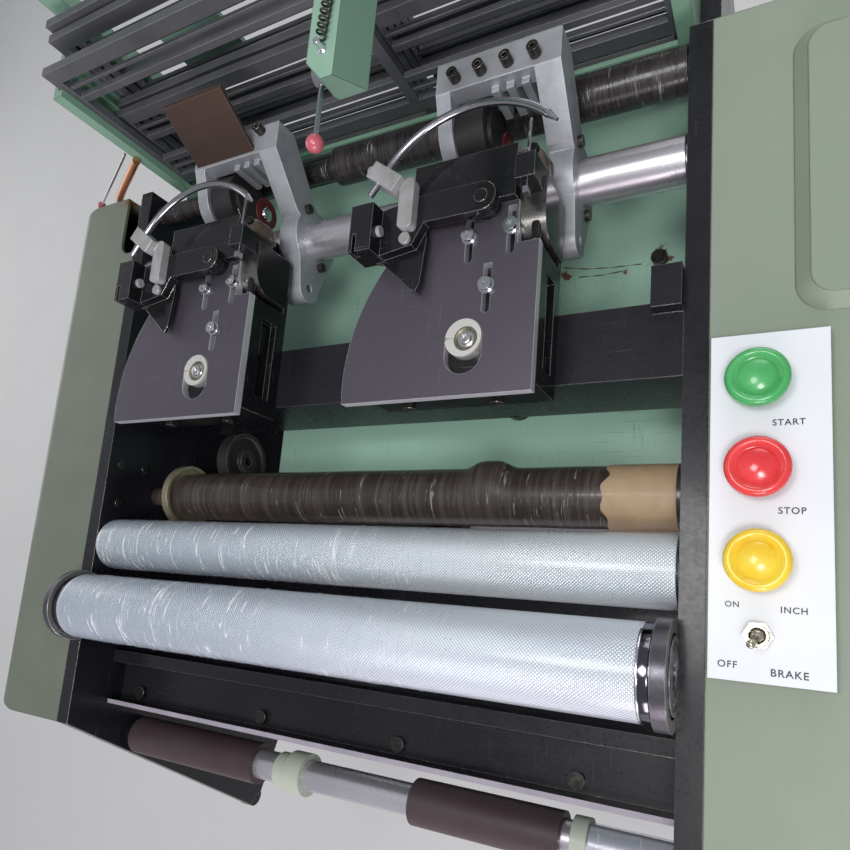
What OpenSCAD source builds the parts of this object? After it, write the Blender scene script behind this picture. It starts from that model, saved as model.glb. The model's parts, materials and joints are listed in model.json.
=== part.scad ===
// Two-head needle power loom for narrow fabric, free-standing.
// Lengths are in millimetres. X runs to the right, Y to the rear, Z up.
// Heights are measured from the casing deck and depths from the roller line,
// the vertical plane halfway between the two knurled take-up rollers.

/* [Stand] */
// Height of the casing deck above the floor
deck_h = 880; // [820:10:960]
// Clear width between the side plates
inner_w = 564; // [556:2:600]
// Thickness of a side plate
plate_t = 16; // [12:1:20]
// Front edge of the deck, in front of the roller line
deck_front = 147; // [140:1:156]
// Rear edge of the deck, behind the roller line
deck_rear = 428; // [424:1:440]
// Rear edge of the side plates, behind the roller line
plate_rear = 620; // [600:5:660]
// Height of the rear step of the side plates below the deck
rear_step = 60; // [50:2:90]
// How far the sloping front of a side plate reaches in front of the roller line
nose_reach = 272; // [260:2:300]
// Depth of that nose below the deck
nose_drop = 297; // [260:2:320]
// Radius of the nose
nose_r = 12; // [8:1:16]
// Front edge of the lower part of a side plate, in front of the roller line
leg_front = 160; // [140:5:190]
// Gap between the floor and the foot of the side plates
floor_gap = 30; // [24:1:40]

/* [Casings] */
// Width of the left casing
left_casing_w = 102; // [90:2:120]
// Width of the right casing
right_casing_w = 165; // [150:5:190]
// Sheet thickness of both casings
sheet_t = 3; // [2:0.5:4]
// Corner radius of the casings, seen from above
casing_r = 28; // [20:2:36]
// Radius of the outer top edge of the casings
edge_r = 14; // [8:1:18]
// Height of the raised field on the right casing
field_h = 9; // [6:1:12]
// Distance from the right side plate to the raised field
field_x = 49; // [44:1:56]
// Front edge of the raised field, behind the roller line
field_y = 196; // [192:2:220]

/* [Rollers] */
// Radius of the front knurled roller
front_r = 30.5; // [26:0.5:31]
// Depth of the front roller axis, in front of the roller line
front_y = 31; // [30:1:36]
// Height of the front roller axis above the deck
front_z = 12; // [6:1:16]
// Radius of the knurled take-up roller
takeup_r = 25.4; // [22:0.2:26]
// Depth of the take-up roller axis
takeup_y = 33.6; // [33:0.2:37]
// Height of the take-up roller axis, below the deck
takeup_z = 24; // [20:1:30]
// Radius of the wrapped cloth roller
cloth_r = 24.5; // [20:0.5:26]
// Depth of the cloth roller axis
cloth_y = 92; // [90:1:98]
// Height of the cloth roller axis, below the deck
cloth_z = 70; // [66:1:76]
// Radius of the steel delivery shaft
delivery_r = 13.5; // [11:0.5:16]
// Radius of its rubber rollers
rubber_r = 19; // [18:0.2:24]
// Depth of the delivery shaft, in front of the roller line
delivery_y = 167; // [165:1:170]
// Height of the delivery shaft, below the deck
delivery_z = 90; // [88:1:96]
// Radius of the rear warp roller
rear_r = 17; // [14:0.5:17]
// Depth of the rear warp roller axis
rear_y = 409; // [409:1:412]
// Height of the rear warp roller axis, below the deck
rear_z = 20; // [20:1:26]

/* [Sley] */
// Radius of the sley shaft
sley_r = 18; // [14:0.5:19]
// Depth of the sley shaft axis
sley_y = 333.6; // [333:0.2:336]
// Height of the sley shaft axis, below the deck
sley_z = 20; // [19:0.5:24]
// Radius of the shaft ends in their bearings
journal_r = 12; // [9:0.5:13]
// Radial running clearance of every bearing
run_fit = 0.05; // [0.02:0.01:0.1]
// Width of a reed bracket
bracket_w = 100; // [96:1:104]
// Lean of the reed guard behind the vertical
reed_lean = 30; // [20:1:35]
// Height of the reed guard above its bracket
reed_h = 48; // [30:2:56]

/* [Weaving heads] */
// Distance from head to head
head_pitch = 260; // [250:2:280]
// Left edge of the right head from the loom's middle
head_x = 47; // [40:1:56]
// Width of a head plate
head_w = 148; // [148:1:152]
// Front edge of the head plates, behind the roller line
head_y = 143; // [140:1:146]
// Rear edge of the head plates, behind the roller line
head_rear = 284; // [284:1:286]
// Height of the top of the head plates above the deck
head_h = 50; // [48:0.5:50]
// Thickness of a head plate
head_t = 7; // [5:0.5:9]
// Radius of the curved left edge of a head plate
head_edge_r = 153; // [152:1:156]
// Radius of the curved weft needle
needle_arc_r = 81; // [79:1:83]
// Radius of the weft needle's tube
needle_r = 2.75; // [2:0.25:3]
// Height of the weft needle above the deck
needle_z = 78; // [76:0.5:79]

/* [Heald frames] */
// Number of heald frames
heald_count = 6; // [6:1:6]
// Depth of the first heald frame, behind the roller line
heald_y = 458; // [456:1:462]
// Distance from frame to frame
heald_pitch = 12; // [11.5:0.1:12.4]
// Thickness of a heald frame
heald_t = 8; // [6:0.2:8.4]
// Height of the top of the heald frames at mid shed, above the deck
heald_top = 130; // [124:1:130]
// Height of the bottom of the heald frames at mid shed, below the deck
heald_bottom = 48; // [44:1:54]
// Gap between a frame and its guide slot on each side
slot_gap = 0.3; // [0.2:0.05:0.5]

/* [Control panel] */
// Width of the control panel
panel_w = 66; // [62:1:70]
// Length of the control panel
panel_l = 213; // [205:1:218]
// Thickness of the control panel box
panel_h = 8; // [6:0.5:10]
// Radius of a push button
button_r = 18.5; // [15:0.5:20]
// Distance from button to button
button_pitch = 55.5; // [50:0.5:56]
// Travel of a push button
button_travel = 4; // [2:0.5:5]

/* [Hidden] */
$fn = 48;

// Small amount by which a cut runs past the face that it cuts
cut = 1;
// Half of the clear width
half_w = inner_w / 2;
// Outer faces of the side plates
plate_out = half_w + plate_t;
// Place of the loom's own datum in the part's frame
loom_x = (left_casing_w - right_casing_w) / 2;
loom_y = (nose_reach + nose_r - plate_rear) / 2;
// Bottom of the side plates and casings, below the deck
plate_drop = deck_h - floor_gap;

// Cross beam: front face, depth and height
beam_y = 162;
beam_d = 54;
beam_h = 73;
beam_wall = 6;
// Bed plate: top below the deck, thickness, front, rear and front left notch
bed_z = 140;
bed_t = 10;
bed_front = 95;
bed_rear = 560;
bed_notch_x = -172;
bed_notch_y = 225;
// Front rail: depths of its lips and height of its web
rail_front = 130;
rail_rear = 76;
rail_lip = 43;
rail_web = 64;
rail_t = 4;

// Front roller ends: collars, arms and journal
arm_r = front_r + 3.5;
arm_left_t = 7;
arm_right_t = 9;
arm_gap = 0.5;
collar_l = 8;
front_journal_r = 9;
// Journals of the other rollers
cloth_journal_r = 10;
delivery_journal_r = 9;
rear_journal_r = 10;
wheel_journal_r = 8;
// How far a journal reaches into its side plate
journal_in = 10;
// Gap between a roller's end and the side plate
end_gap = 2;
// Take-up wheel: axis depth, height below the deck, radius and face width
wheel_y = 152;
wheel_z = 160;
wheel_r = 34;
wheel_t = 16;
wheel_x = -half_w + 24;
// Flange of the cloth roller: distance from the left side plate and thickness
flange_x = 43;
flange_t = 8;
// Sleeves of the delivery shaft: ends of the left and of the right rubber roller
rubber_left_end = -half_w + 175;
rubber_right_x = half_w - 218;
rubber_right_end = half_w - 90;

// Main shaft and drive
main_y = 330;
main_z = 300;
main_r = 12;
pulley_x = -half_w + 20;
pulley_w = 22;
pulley_r = 110;
motor_x = pulley_x + 112;
motor_l = 210;
motor_z = plate_drop - 150;
motor_r = 78;
motor_pulley_r = 40;
belt_t = 5;
belt_gap = 0.3;

// Sley bracket: block that carries the reed, cheek disc and hub
block_y = 389;
block_d = 26;
block_z = 34;
block_top = 50;
block_w = bracket_w - 18;
cheek_y = 372;
cheek_z = 12;
cheek_r = 30;
cheek_t = 12;
buffer_r = 26;
buffer_t = 24;
hub_r = sley_r + 12;
arm_w = 20;
lobe_y = 285;
lobe_z = 18;
lobe_r = 14;
screw_r = 4.5;
screw_pitch = 21.3;
// Left end of the right bracket, from the loom's middle
bracket_x = head_x + 56;

// Weaving head: pivot of the needle arm and rear riser
// These places are measured from the left edge and follow the right edge of the plate
pivot_x = head_w - 39;
pivot_y = 282;
pin_r = 5;
boss_r = 9;
riser_x = head_w - 99;
riser_w = 82;
riser_d = 40;
riser_top = 57;
riser_bottom = 2;
lug_x = head_w - 14;
lug_w = 14;
lug_y = 288;
lug_d = 18;
lug_top = 68;
latch_z = 62;
latch_r = 1.2;
lift_gap = 0.3;
disc_x = head_w - 52;
disc_y = 185;
disc_r = 14;
// Plate screws: place on the head and half length of their slots
slot_places = [[head_w - 53, 262], [head_w - 21, 264], [head_w - 37, 222]];
slot_half = 17;
slot_r = 3;
cap_r = 5;
// Rounded shoulder at the rear right of a head
shoulder_x = head_w - 16;
shoulder_w = 18;
shoulder_y = 255;
shoulder_r = 19;
shoulder_top = head_h - 3;
// Needle arm: holder block, height of its underside and centre of the needle's arc
holder_x = head_w - 138;
holder_w = 19;
holder_y = 250;
holder_l = 37;
holder_top = needle_z + 2;
holder_z = head_h + 5.5;
arc_x = head_w - 45;
arc_y = 264;

// Heald frames: bars, carrier bars, rods, side bars and middle bar
bar_h = 14;
carrier_h = 7;
rod_h = 3;
rod_gap = 9;
side_bar_w = 10;
mid_bar_x = 34;
guide_wall = 6;
guide_rib = 7;
frame_half = half_w - guide_wall - 2.5;
// Height of each frame above mid shed, as the shed stands
heald_rest = [13, -65, -64, 13, 18, -62];
guide_top = 124;
gantry_top = 200;
gantry_d = 14;
gantry_y = heald_y + heald_pitch * heald_count + 4;
// Slotted plate behind the frames: edges and slots
slot_plate_x0 = -half_w + 68;
slot_plate_x1 = -half_w + 146;
slot_plate_top = 70;
// Front strip of the guides
strip_z = 44;

// Stop motion box and its lever
box_x = 104;
box_w = 20;
box_y = 281;
box_slope = 17;
box_z = gantry_top - 34;
box_top = gantry_top;
lever_y = 306;
lever_z = 178;
lever_x = 95;
lever_l = 44;
knob_r = 5.5;

// Control panel and switch gear
panel_x = plate_out + 2;
panel_y = -30;
button_x = panel_x + 27;
button_y = panel_y + 181;
stem_r = 5;
stem_gap = 0.4;
toggle_y = panel_y + 27;
toggle_tilt = 22;
toggle_turn = -30;
bush_r = 6;
bush_bore = 4.6;
ball_r = 4.4;
ball_z = panel_h + 5;
fulcrum_r = 1.4;
fulcrum_l = 5.4;

// Moves the loom's own datum to its place in the part's frame.
module loom() {
    translate([loom_x, loom_y, deck_h]) children();
}

// Extrudes a side view, drawn as depth and height, from x0 over a width.
module side_view(x0, w) {
    translate([x0, 0, 0]) rotate([90, 0, 90]) linear_extrude(height = w) children();
}

// Extrudes a front view, drawn as width and height, from y0 over a depth.
module front_view(y0, d) {
    translate([0, y0 + d, 0]) rotate([90, 0, 0]) linear_extrude(height = d) children();
}

// A round bar along X from x0 to x1, with its axis at depth y and height z.
module bar_x(x0, x1, y, z, r) {
    translate([x0, y, z]) rotate([0, 90, 0]) cylinder(h = x1 - x0, r = r);
}

// A rectangle from two opposite corners.
module rect(x0, y0, x1, y1) {
    translate([x0, y0]) square([x1 - x0, y1 - y0]);
}

// A box from two opposite corners.
module block(a, b) {
    translate(a) cube(b - a);
}

// A rectangle with all four corners rounded.
module round_rect(x0, y0, x1, y1, r) {
    rect(x0 + r, y0, x1 - r, y1);
    rect(x0, y0 + r, x1, y1 - r);
    for (x = [x0 + r, x1 - r], y = [y0 + r, y1 - r]) translate([x, y]) circle(r);
}

// A roller along X: body, then two journals that reach into the side plates.
module journalled(y, z, r, jr) {
    bar_x(-half_w + end_gap, half_w - end_gap, y, z, r);
    bar_x(-half_w - journal_in, half_w + journal_in, y, z, jr);
}

// Side view of a side plate: deck edge, rear step, leg and sloping front with its nose.
module side_plate_view(wheel_bore) {
    difference() {
        union() {
            polygon([
                [-deck_front, 0], [deck_rear, 0], [deck_rear, -rear_step],
                [plate_rear, -rear_step], [plate_rear, -plate_drop],
                [-leg_front, -plate_drop], [-leg_front, -nose_drop - nose_r - 40],
                [-nose_reach + 4, -nose_drop - nose_r + 1], [-nose_reach, -nose_drop],
                [-nose_reach - nose_r * 0.85, -nose_drop + nose_r * 0.4]
            ]);
            translate([-nose_reach, -nose_drop]) circle(nose_r);
        }
        translate([takeup_y, -takeup_z]) circle(journal_r + run_fit);
        translate([cloth_y, -cloth_z]) circle(cloth_journal_r + run_fit);
        translate([-delivery_y, -delivery_z]) circle(delivery_journal_r + run_fit);
        translate([sley_y, -sley_z]) circle(journal_r + run_fit);
        translate([rear_y, -rear_z]) circle(rear_journal_r + run_fit);
        translate([main_y, -main_z]) circle(main_r + run_fit);
        if (wheel_bore) translate([wheel_y, -wheel_z]) circle(wheel_journal_r + run_fit);
    }
}

module left_side_plate() {
    color([0.08, 0.08, 0.1]) loom() side_view(-plate_out, plate_t) side_plate_view(true);
}

module right_side_plate() {
    color([0.08, 0.08, 0.1]) loom() side_view(half_w, plate_t) side_plate_view(false);
}

// One casing as a solid block, shrunk by s for the hollow. Its flat side is at X = 0.
module casing_block(w, s) {
    intersection() {
        translate([0, 0, -plate_drop - cut * s]) linear_extrude(height = plate_drop + cut * s - s)
            union() {
                rect(0, -deck_front + s, w - casing_r, deck_rear - s);
                rect(0, -deck_front + casing_r, w - s, deck_rear - casing_r);
                for (y = [-deck_front + casing_r, deck_rear - casing_r])
                    translate([w - casing_r, y]) circle(casing_r - s);
            }
        front_view(-deck_front - cut, deck_front + deck_rear + 2 * cut)
            union() {
                rect(-cut, -plate_drop - cut * s, w - edge_r, -s);
                rect(-cut, -plate_drop - cut * s, w - s, -edge_r);
                translate([w - edge_r, -edge_r]) circle(edge_r - s);
            }
    }
}

// Hollow casing, open below and towards its side plate.
module casing_shell(w) {
    difference() {
        casing_block(w, 0);
        translate([-cut, 0, 0]) casing_block(w + cut, sheet_t);
    }
}

module left_casing() {
    notch_r = 14;
    color([0.55, 0.6, 0.52]) loom() difference() {
        translate([-plate_out, 0, 0]) mirror([1, 0, 0]) casing_shell(left_casing_w);
        translate([-plate_out, 0, -edge_r * 3]) linear_extrude(height = edge_r * 4)
            round_rect(-notch_r * 1.6, deck_rear - 70, notch_r * 2, deck_rear + notch_r * 2, notch_r);
    }
}

// Raised field on the right casing, with sloping sides.
module raised_field() {
    x0 = plate_out + field_x;
    x1 = plate_out + right_casing_w - edge_r - 2;
    hull() {
        translate([0, 0, -sheet_t / 2]) linear_extrude(height = 0.5, $fn = 32)
            round_rect(x0, field_y, x1, deck_rear - casing_r, 20);
        translate([0, 0, field_h - 0.5]) linear_extrude(height = 0.5, $fn = 32)
            round_rect(x0 + field_h, field_y + field_h, x1 - field_h, deck_rear - casing_r - field_h, 14);
    }
}

module right_casing() {
    color([0.6, 0.65, 0.56]) loom() difference() {
        union() {
            translate([plate_out, 0, 0]) casing_shell(right_casing_w);
            raised_field();
        }
        for (i = [0:2]) translate([button_x, button_y - i * button_pitch, -sheet_t - cut])
            cylinder(h = sheet_t + 2 * cut, r = stem_r + stem_gap);
        translate([button_x, toggle_y, -sheet_t - cut])
            cylinder(h = sheet_t + 2 * cut, r = bush_r + stem_gap);
    }
}

// Welded base of square tube inside the side plates.
module base_frame() {
    t = 40;
    z0 = -plate_drop + 10;
    rail_y0 = -leg_front + 10;
    rail_y1 = plate_rear - 20;
    color([0.1, 0.1, 0.12]) loom() union() {
        for (x = [-half_w, half_w - t]) block([x, rail_y0, z0], [x + t, rail_y1, z0 + t]);
        for (y = [rail_y0, main_y - 75, main_y + 35, rail_y1 - t])
            block([-half_w + t - cut, y, z0], [half_w - t + cut, y + t, z0 + t]);
    }
}

// Four levelling feet: pad and stem, screwed up to the base rails.
module levelling_feet() {
    pad_r = 24;
    pad_h = 12;
    color([0.2, 0.2, 0.2]) loom()
        for (x = [-half_w + 20, half_w - 20], y = [-leg_front + 40, plate_rear - 50])
            translate([x, y, -deck_h]) {
                cylinder(h = pad_h, r = pad_r);
                cylinder(h = floor_gap + 10, r = 8);
            }
}

// Green bed plate with a folded front lip and a notch for the take-up wheel.
module bed_plate() {
    lip = 24;
    color([0.5, 0.72, 0.6]) loom() union() {
        translate([0, 0, -bed_z - bed_t]) linear_extrude(height = bed_t) polygon([
            [bed_notch_x, bed_front], [half_w, bed_front], [half_w, bed_rear],
            [-half_w, bed_rear], [-half_w, bed_notch_y], [bed_notch_x, bed_notch_y]
        ]);
        block([bed_notch_x, bed_front, -bed_z - lip], [half_w, bed_front + bed_t / 2, -bed_z]);
    }
}

// Breast beam of rectangular tube, with a raised lug at its right end.
module cross_beam() {
    color([0.07, 0.07, 0.1]) loom() union() {
        side_view(-half_w, inner_w) difference() {
            rect(beam_y, -beam_h, beam_y + beam_d, 0);
            rect(beam_y + beam_wall, -beam_h + beam_wall, beam_y + beam_d - beam_wall, -beam_wall);
        }
        block([half_w - 20, beam_y + beam_d - 8, -beam_wall], [half_w, beam_y + beam_d + 22, 12]);
        translate([half_w - 143, beam_y + 12, -beam_h - 7]) cylinder(h = 8, r = 13);
    }
}

// Front rail: a shallow channel with a square bar behind it.
module front_rail() {
    color([0.09, 0.09, 0.11]) loom() side_view(-half_w, inner_w) polygon([
        [-rail_front, -rail_lip], [-rail_front, -rail_web - 14], [-rail_front + rail_t, -rail_web - 14],
        [-rail_front + rail_t, -rail_web], [-rail_rear, -rail_web], [-rail_rear, -rail_lip],
        [-rail_rear - 12, -rail_lip], [-rail_rear - 12, -rail_web + rail_t],
        [-rail_front + rail_t, -rail_web + rail_t], [-rail_front + rail_t, -rail_lip]
    ]);
}

// Bolts of the rail, the bed, the head bodies and the left side plate.
module frame_bolts() {
    bolt_r = 6;
    rail_bolts = [-half_w + 32, -half_w * 0.31, half_w * 0.21, half_w - 74];
    color([0.35, 0.35, 0.36]) loom() {
        for (x = rail_bolts)
            translate([x, -rail_front + 13, -rail_web + rail_t]) cylinder(h = 5, r = bolt_r);
        for (x = [-half_w + 32, half_w - 40], y = [324, 500])
            translate([x, y, -bed_z]) cylinder(h = 6, r = bolt_r + 1);
        for (p = [[117, -14], [76, -17], [118, -44]])
            bar_x(-half_w, -half_w + 3, p[0], p[1], bolt_r - 2);
        for (h = [0, 1]) translate([head_x - h * head_pitch, 0, 0]) {
            for (x = [head_w - 108, head_w - 36])
                translate([x, head_y + 7, 20]) rotate([90, 0, 0]) cylinder(h = 5, r = cap_r);
        }
    }
}

// Front knurled roller with its two polished end collars.
module front_roller() {
    x0 = -half_w + arm_left_t + arm_gap;
    x1 = half_w - arm_right_t - arm_gap;
    color([0.75, 0.78, 0.82]) loom() union() {
        bar_x(x0 + collar_l, x1 - collar_l, -front_y, front_z, front_r);
        bar_x(x0, x0 + collar_l + 0.5, -front_y, front_z, front_r - 0.6);
        bar_x(x1 - collar_l - 0.5, x1, -front_y, front_z, front_r - 0.6);
        bar_x(-half_w + 1, half_w - 1, -front_y, front_z, front_journal_r);
    }
}

// One end arm of the front roller: bearing disc with a foot, bolted inside a side plate.
module end_arm(x0, w) {
    difference() {
        side_view(x0, w) difference() {
            union() {
                translate([-front_y, front_z]) circle(arm_r);
                round_rect(-front_y - 24, -62, -front_y + 24, 8, 8);
            }
            translate([-front_y, front_z]) circle(front_journal_r + run_fit);
        }
        side_view(x0 + w - 3, 3 + cut) difference() {
            translate([-front_y, front_z]) circle(arm_r - 8);
            translate([-front_y, front_z]) circle(front_journal_r + 5);
        }
    }
}

module roller_end_arms() {
    color([0.5, 0.52, 0.55]) loom() {
        end_arm(-half_w, arm_left_t);
        end_arm(half_w - arm_right_t, arm_right_t);
    }
}

module takeup_roller() {
    color([0.75, 0.78, 0.82]) loom() journalled(takeup_y, -takeup_z, takeup_r, journal_r);
}

// Cloth roller, wrapped full of band, with a small lump in its last turn.
module cloth_roller() {
    x0 = -half_w + flange_x + flange_t;
    color([0.35, 0.3, 0.26]) loom() union() {
        bar_x(x0, half_w - end_gap, cloth_y, -cloth_z, cloth_r);
        bar_x(-half_w - journal_in, half_w + journal_in, cloth_y, -cloth_z, cloth_journal_r);
    }
}

module roller_flange() {
    x0 = -half_w + flange_x;
    color([0.8, 0.75, 0.55]) loom() difference() {
        bar_x(x0, x0 + flange_t, cloth_y, -cloth_z, cloth_r + 9);
        bar_x(x0 - cut, x0 + flange_t + cut, cloth_y, -cloth_z, cloth_journal_r + run_fit);
        bar_x(x0 + flange_t - 3, x0 + flange_t + cut, cloth_y, -cloth_z, cloth_r + 5.5);
    }
}

// Take-up wheel on its own stub shaft in the left side plate.
module takeup_wheel() {
    color([0.45, 0.46, 0.46]) loom() difference() {
        union() {
            bar_x(wheel_x, wheel_x + wheel_t, wheel_y, -wheel_z, wheel_r);
            bar_x(wheel_x, wheel_x + wheel_t + 3, wheel_y, -wheel_z, 13);
            bar_x(-half_w - journal_in, wheel_x + cut, wheel_y, -wheel_z, wheel_journal_r);
        }
        bar_x(wheel_x + wheel_t - 3, wheel_x + wheel_t + 4, wheel_y, -wheel_z, 6);
        bar_x(wheel_x + wheel_t - 3, wheel_x + wheel_t + cut, wheel_y, -wheel_z, wheel_r - 5);
    }
    color([0.45, 0.46, 0.46]) loom() difference() {
        bar_x(wheel_x + wheel_t - 4, wheel_x + wheel_t + 3, wheel_y, -wheel_z, 13);
        bar_x(wheel_x + wheel_t - 5, wheel_x + wheel_t + 4, wheel_y, -wheel_z, 6);
    }
}

module delivery_shaft() {
    color([0.8, 0.8, 0.84]) loom() journalled(-delivery_y, -delivery_z, delivery_r, delivery_journal_r);
}

// A sleeve on the delivery shaft from x0 to x1.
module delivery_sleeve(x0, x1, r) {
    difference() {
        bar_x(x0, x1, -delivery_y, -delivery_z, r);
        bar_x(x0 - cut, x1 + cut, -delivery_y, -delivery_z, delivery_r + run_fit);
    }
}

module rubber_rollers() {
    color([0.42, 0.34, 0.36]) loom() {
        delivery_sleeve(-half_w + 6, rubber_left_end, rubber_r);
        delivery_sleeve(rubber_right_x, rubber_right_end, rubber_r);
    }
}

module shaft_collars() {
    color([0.85, 0.88, 0.8]) loom() {
        delivery_sleeve(rubber_left_end + 25, rubber_left_end + 39, delivery_r + 2);
        delivery_sleeve(rubber_left_end + 39.3, rubber_left_end + 58, rubber_r);
        delivery_sleeve(rubber_right_end + 8, rubber_right_end + 20, rubber_r - 1);
    }
}

// Rear warp roller: short tube on a stub axle, in the right side plate and the stand of the bed.
module rear_roller() {
    x0 = -38;
    color([0.3, 0.25, 0.24]) loom() union() {
        bar_x(x0, half_w - end_gap, rear_y, -rear_z, rear_r);
        bar_x(-half_w - journal_in, half_w + journal_in, rear_y, -rear_z, rear_journal_r);
    }
}

module sley_shaft() {
    color([0.7, 0.72, 0.75]) loom() journalled(sley_y, -sley_z, sley_r, journal_r);
}

// Side view of the arm of a reed bracket, from the block down to the hub and its lobe.
module bracket_arm_view() {
    difference() {
        union() {
            polygon([
                [block_y + block_d, block_top], [block_y, block_top], [350, 12], [sley_y, -sley_z],
                [sley_y + 20, -sley_z - 4], [block_y + block_d, block_z - 6]
            ]);
            translate([sley_y, -sley_z]) circle(hub_r);
            translate([lobe_y, -lobe_z]) circle(lobe_r);
            polygon([
                [lobe_y, -lobe_z + lobe_r], [sley_y - 16, -sley_z + 22],
                [sley_y - 8, -sley_z - 28], [lobe_y + 2, -lobe_z - lobe_r]
            ]);
        }
        translate([sley_y, -sley_z]) circle(sley_r + run_fit);
        translate([lobe_y, -lobe_z]) circle(4);
    }
}

// Reed bracket casting, with its left end at x = 0.
module sley_bracket() {
    rib_w = 6;
    union() {
        block([0, block_y, block_z], [block_w + 1, block_y + block_d, block_top]);
        side_view(0, cheek_t) union() {
            translate([cheek_y, cheek_z]) circle(cheek_r);
            polygon([
                [cheek_y - 12, cheek_z + cheek_r - 3], [block_y + 2, block_top],
                [block_y + 16, block_top], [block_y + 12, cheek_z]
            ]);
        }
        block([cheek_t - 1, block_y + 9, 6], [block_w, block_y + 15, block_z + 1]);
        for (x = [44, 56, 68]) block([x, block_y - 5, 10], [x + rib_w, block_y + 9.5, block_z + 8]);
        side_view(block_w - 2, arm_w) bracket_arm_view();
    }
}

module sley_bracket_left() {
    color([0.72, 0.74, 0.77]) loom() translate([bracket_x - head_pitch, 0, 0]) sley_bracket();
}

module sley_bracket_right() {
    color([0.72, 0.74, 0.77]) loom() translate([bracket_x, 0, 0]) sley_bracket();
}

// Socket cap screws on both brackets: four on the block, two on the arm.
module bracket_screws() {
    color([0.2, 0.2, 0.22]) loom() for (h = [0, 1]) translate([bracket_x - h * head_pitch, 0, 0]) {
        for (i = [0:3])
            translate([17 + i * screw_pitch, block_y + 9 + h * 11, block_top]) difference() {
                cylinder(h = 9, r = screw_r);
                translate([0, 0, 5]) cylinder(h = 5, r = 2.2, $fn = 6);
            }
        for (p = [[sley_y + 24, -2], [sley_y - 22, -sley_z - 10]])
            bar_x(block_w - 2 + arm_w, block_w + 2 + arm_w, p[0], p[1], screw_r);
    }
}

// Dark buffer discs with a raised centre, one on the cheek of each bracket.
module bracket_buffers() {
    color([0.15, 0.1, 0.1]) loom() for (h = [0, 1]) translate([bracket_x - h * head_pitch, 0, 0]) {
        bar_x(cheek_t, cheek_t + buffer_t, cheek_y, cheek_z, buffer_r);
        bar_x(cheek_t + buffer_t - 1, cheek_t + buffer_t + 3, cheek_y, cheek_z, buffer_r - 9);
    }
}

// Brown reed guard that leans back from the left bracket.
module reed_guard() {
    lean = reed_h * tan(reed_lean);
    y0 = block_y + 2.5;
    color([0.42, 0.33, 0.26]) loom() translate([bracket_x - head_pitch + 4, 0, 0])
        side_view(0, 70) polygon([
            [y0, block_top], [y0 + 4, block_top],
            [y0 + 4 + lean, block_top + reed_h], [y0 + lean, block_top + reed_h]
        ]);
}

// Plan of a head, bounded on the left by the arc that clears the swinging needle arm.
module head_plan(x0, x1, y0, y1, r) {
    intersection() {
        rect(x0, y0, x1, y1);
        translate([head_w + 1, head_y + 17]) circle(r, $fn = 96);
    }
}

// Body of a weaving head: box on the beam, rear riser, pivot boss, pin and latch needle lug.
module head_body() {
    body_top = head_h - head_t;
    difference() {
        union() {
            difference() {
                linear_extrude(height = body_top) head_plan(10, head_w, head_y + 7, 300, head_edge_r - 10);
                block([shoulder_x, shoulder_y - 5, 5], [head_w + cut, 301, body_top + cut]);
            }
            side_view(shoulder_x - cut, shoulder_w + cut) union() {
                translate([shoulder_y + shoulder_r, shoulder_top - shoulder_r]) circle(shoulder_r);
                rect(shoulder_y + shoulder_r, 4, 300, shoulder_top);
                rect(shoulder_y + 0.1, 4, shoulder_y + shoulder_r + cut, shoulder_top - shoulder_r);
            }
            translate([shoulder_x + 11, shoulder_y + 12, shoulder_top - 3.2]) rotate([90, 0, 0])
                cylinder(h = 14, r = 3.4);
            block([riser_x, head_rear, riser_bottom], [riser_x + riser_w, head_rear + riser_d, riser_top]);
            translate([pivot_x, pivot_y, 0]) cylinder(h = riser_top, r = boss_r);
            translate([pivot_x, pivot_y, 0]) cylinder(h = riser_top + 10, r = pin_r);
            block([lug_x, lug_y, 30], [lug_x + lug_w, lug_y + lug_d, lug_top]);
        }
        block([head_w - 6, head_y + 22, 12], [head_w + cut, head_y + 92, 30]);
        translate([lug_x + lug_w / 2, lug_y - cut, latch_z]) rotate([-90, 0, 0])
            cylinder(h = lug_d + 2 * cut, r = latch_r + run_fit);
        for (p = slot_places) translate([p[0], p[1], body_top - 8]) cylinder(h = 9, r = slot_r + run_fit);
        translate([disc_x, disc_y, body_top - 8]) cylinder(h = 9, r = slot_r + run_fit);
        block([shoulder_x - 2 * cut, shoulder_y - 2, body_top], [shoulder_x, head_rear, head_h]);
    }
}

module head_body_left() {
    color([0.06, 0.06, 0.07]) loom() translate([head_x - head_pitch, 0, 0]) head_body();
}

module head_body_right() {
    color([0.06, 0.06, 0.07]) loom() translate([head_x, 0, 0]) head_body();
}

// Ground head plate with three slots, the oval seat of the eccentric disc and a cut for the shoulder.
module head_plate() {
    z0 = head_h - head_t;
    translate([0, 0, z0]) linear_extrude(height = head_t) difference() {
        head_plan(-6, head_w, head_y, head_rear, head_edge_r);
        for (p = slot_places) {
            rect(p[0] - slot_r, max(p[1] - slot_half, head_y), p[0] + slot_r, min(p[1] + slot_half, head_rear - 4));
            translate([p[0], p[1] - slot_half]) circle(slot_r);
        }
        for (y = [disc_y, disc_y - 12]) translate([disc_x, y]) circle(disc_r + 0.3);
        rect(disc_x - disc_r - 0.3, disc_y - 12, disc_x + disc_r + 0.3, disc_y);
        translate([pivot_x, pivot_y]) circle(boss_r + 0.3);
        rect(shoulder_x - 0.3, shoulder_y - 4, head_w + cut, head_rear + cut);
    }
}

module head_plate_left() {
    color([0.55, 0.52, 0.58]) loom() translate([head_x - head_pitch, 0, 0]) head_plate();
}

module head_plate_right() {
    color([0.55, 0.52, 0.58]) loom() translate([head_x, 0, 0]) head_plate();
}

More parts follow.
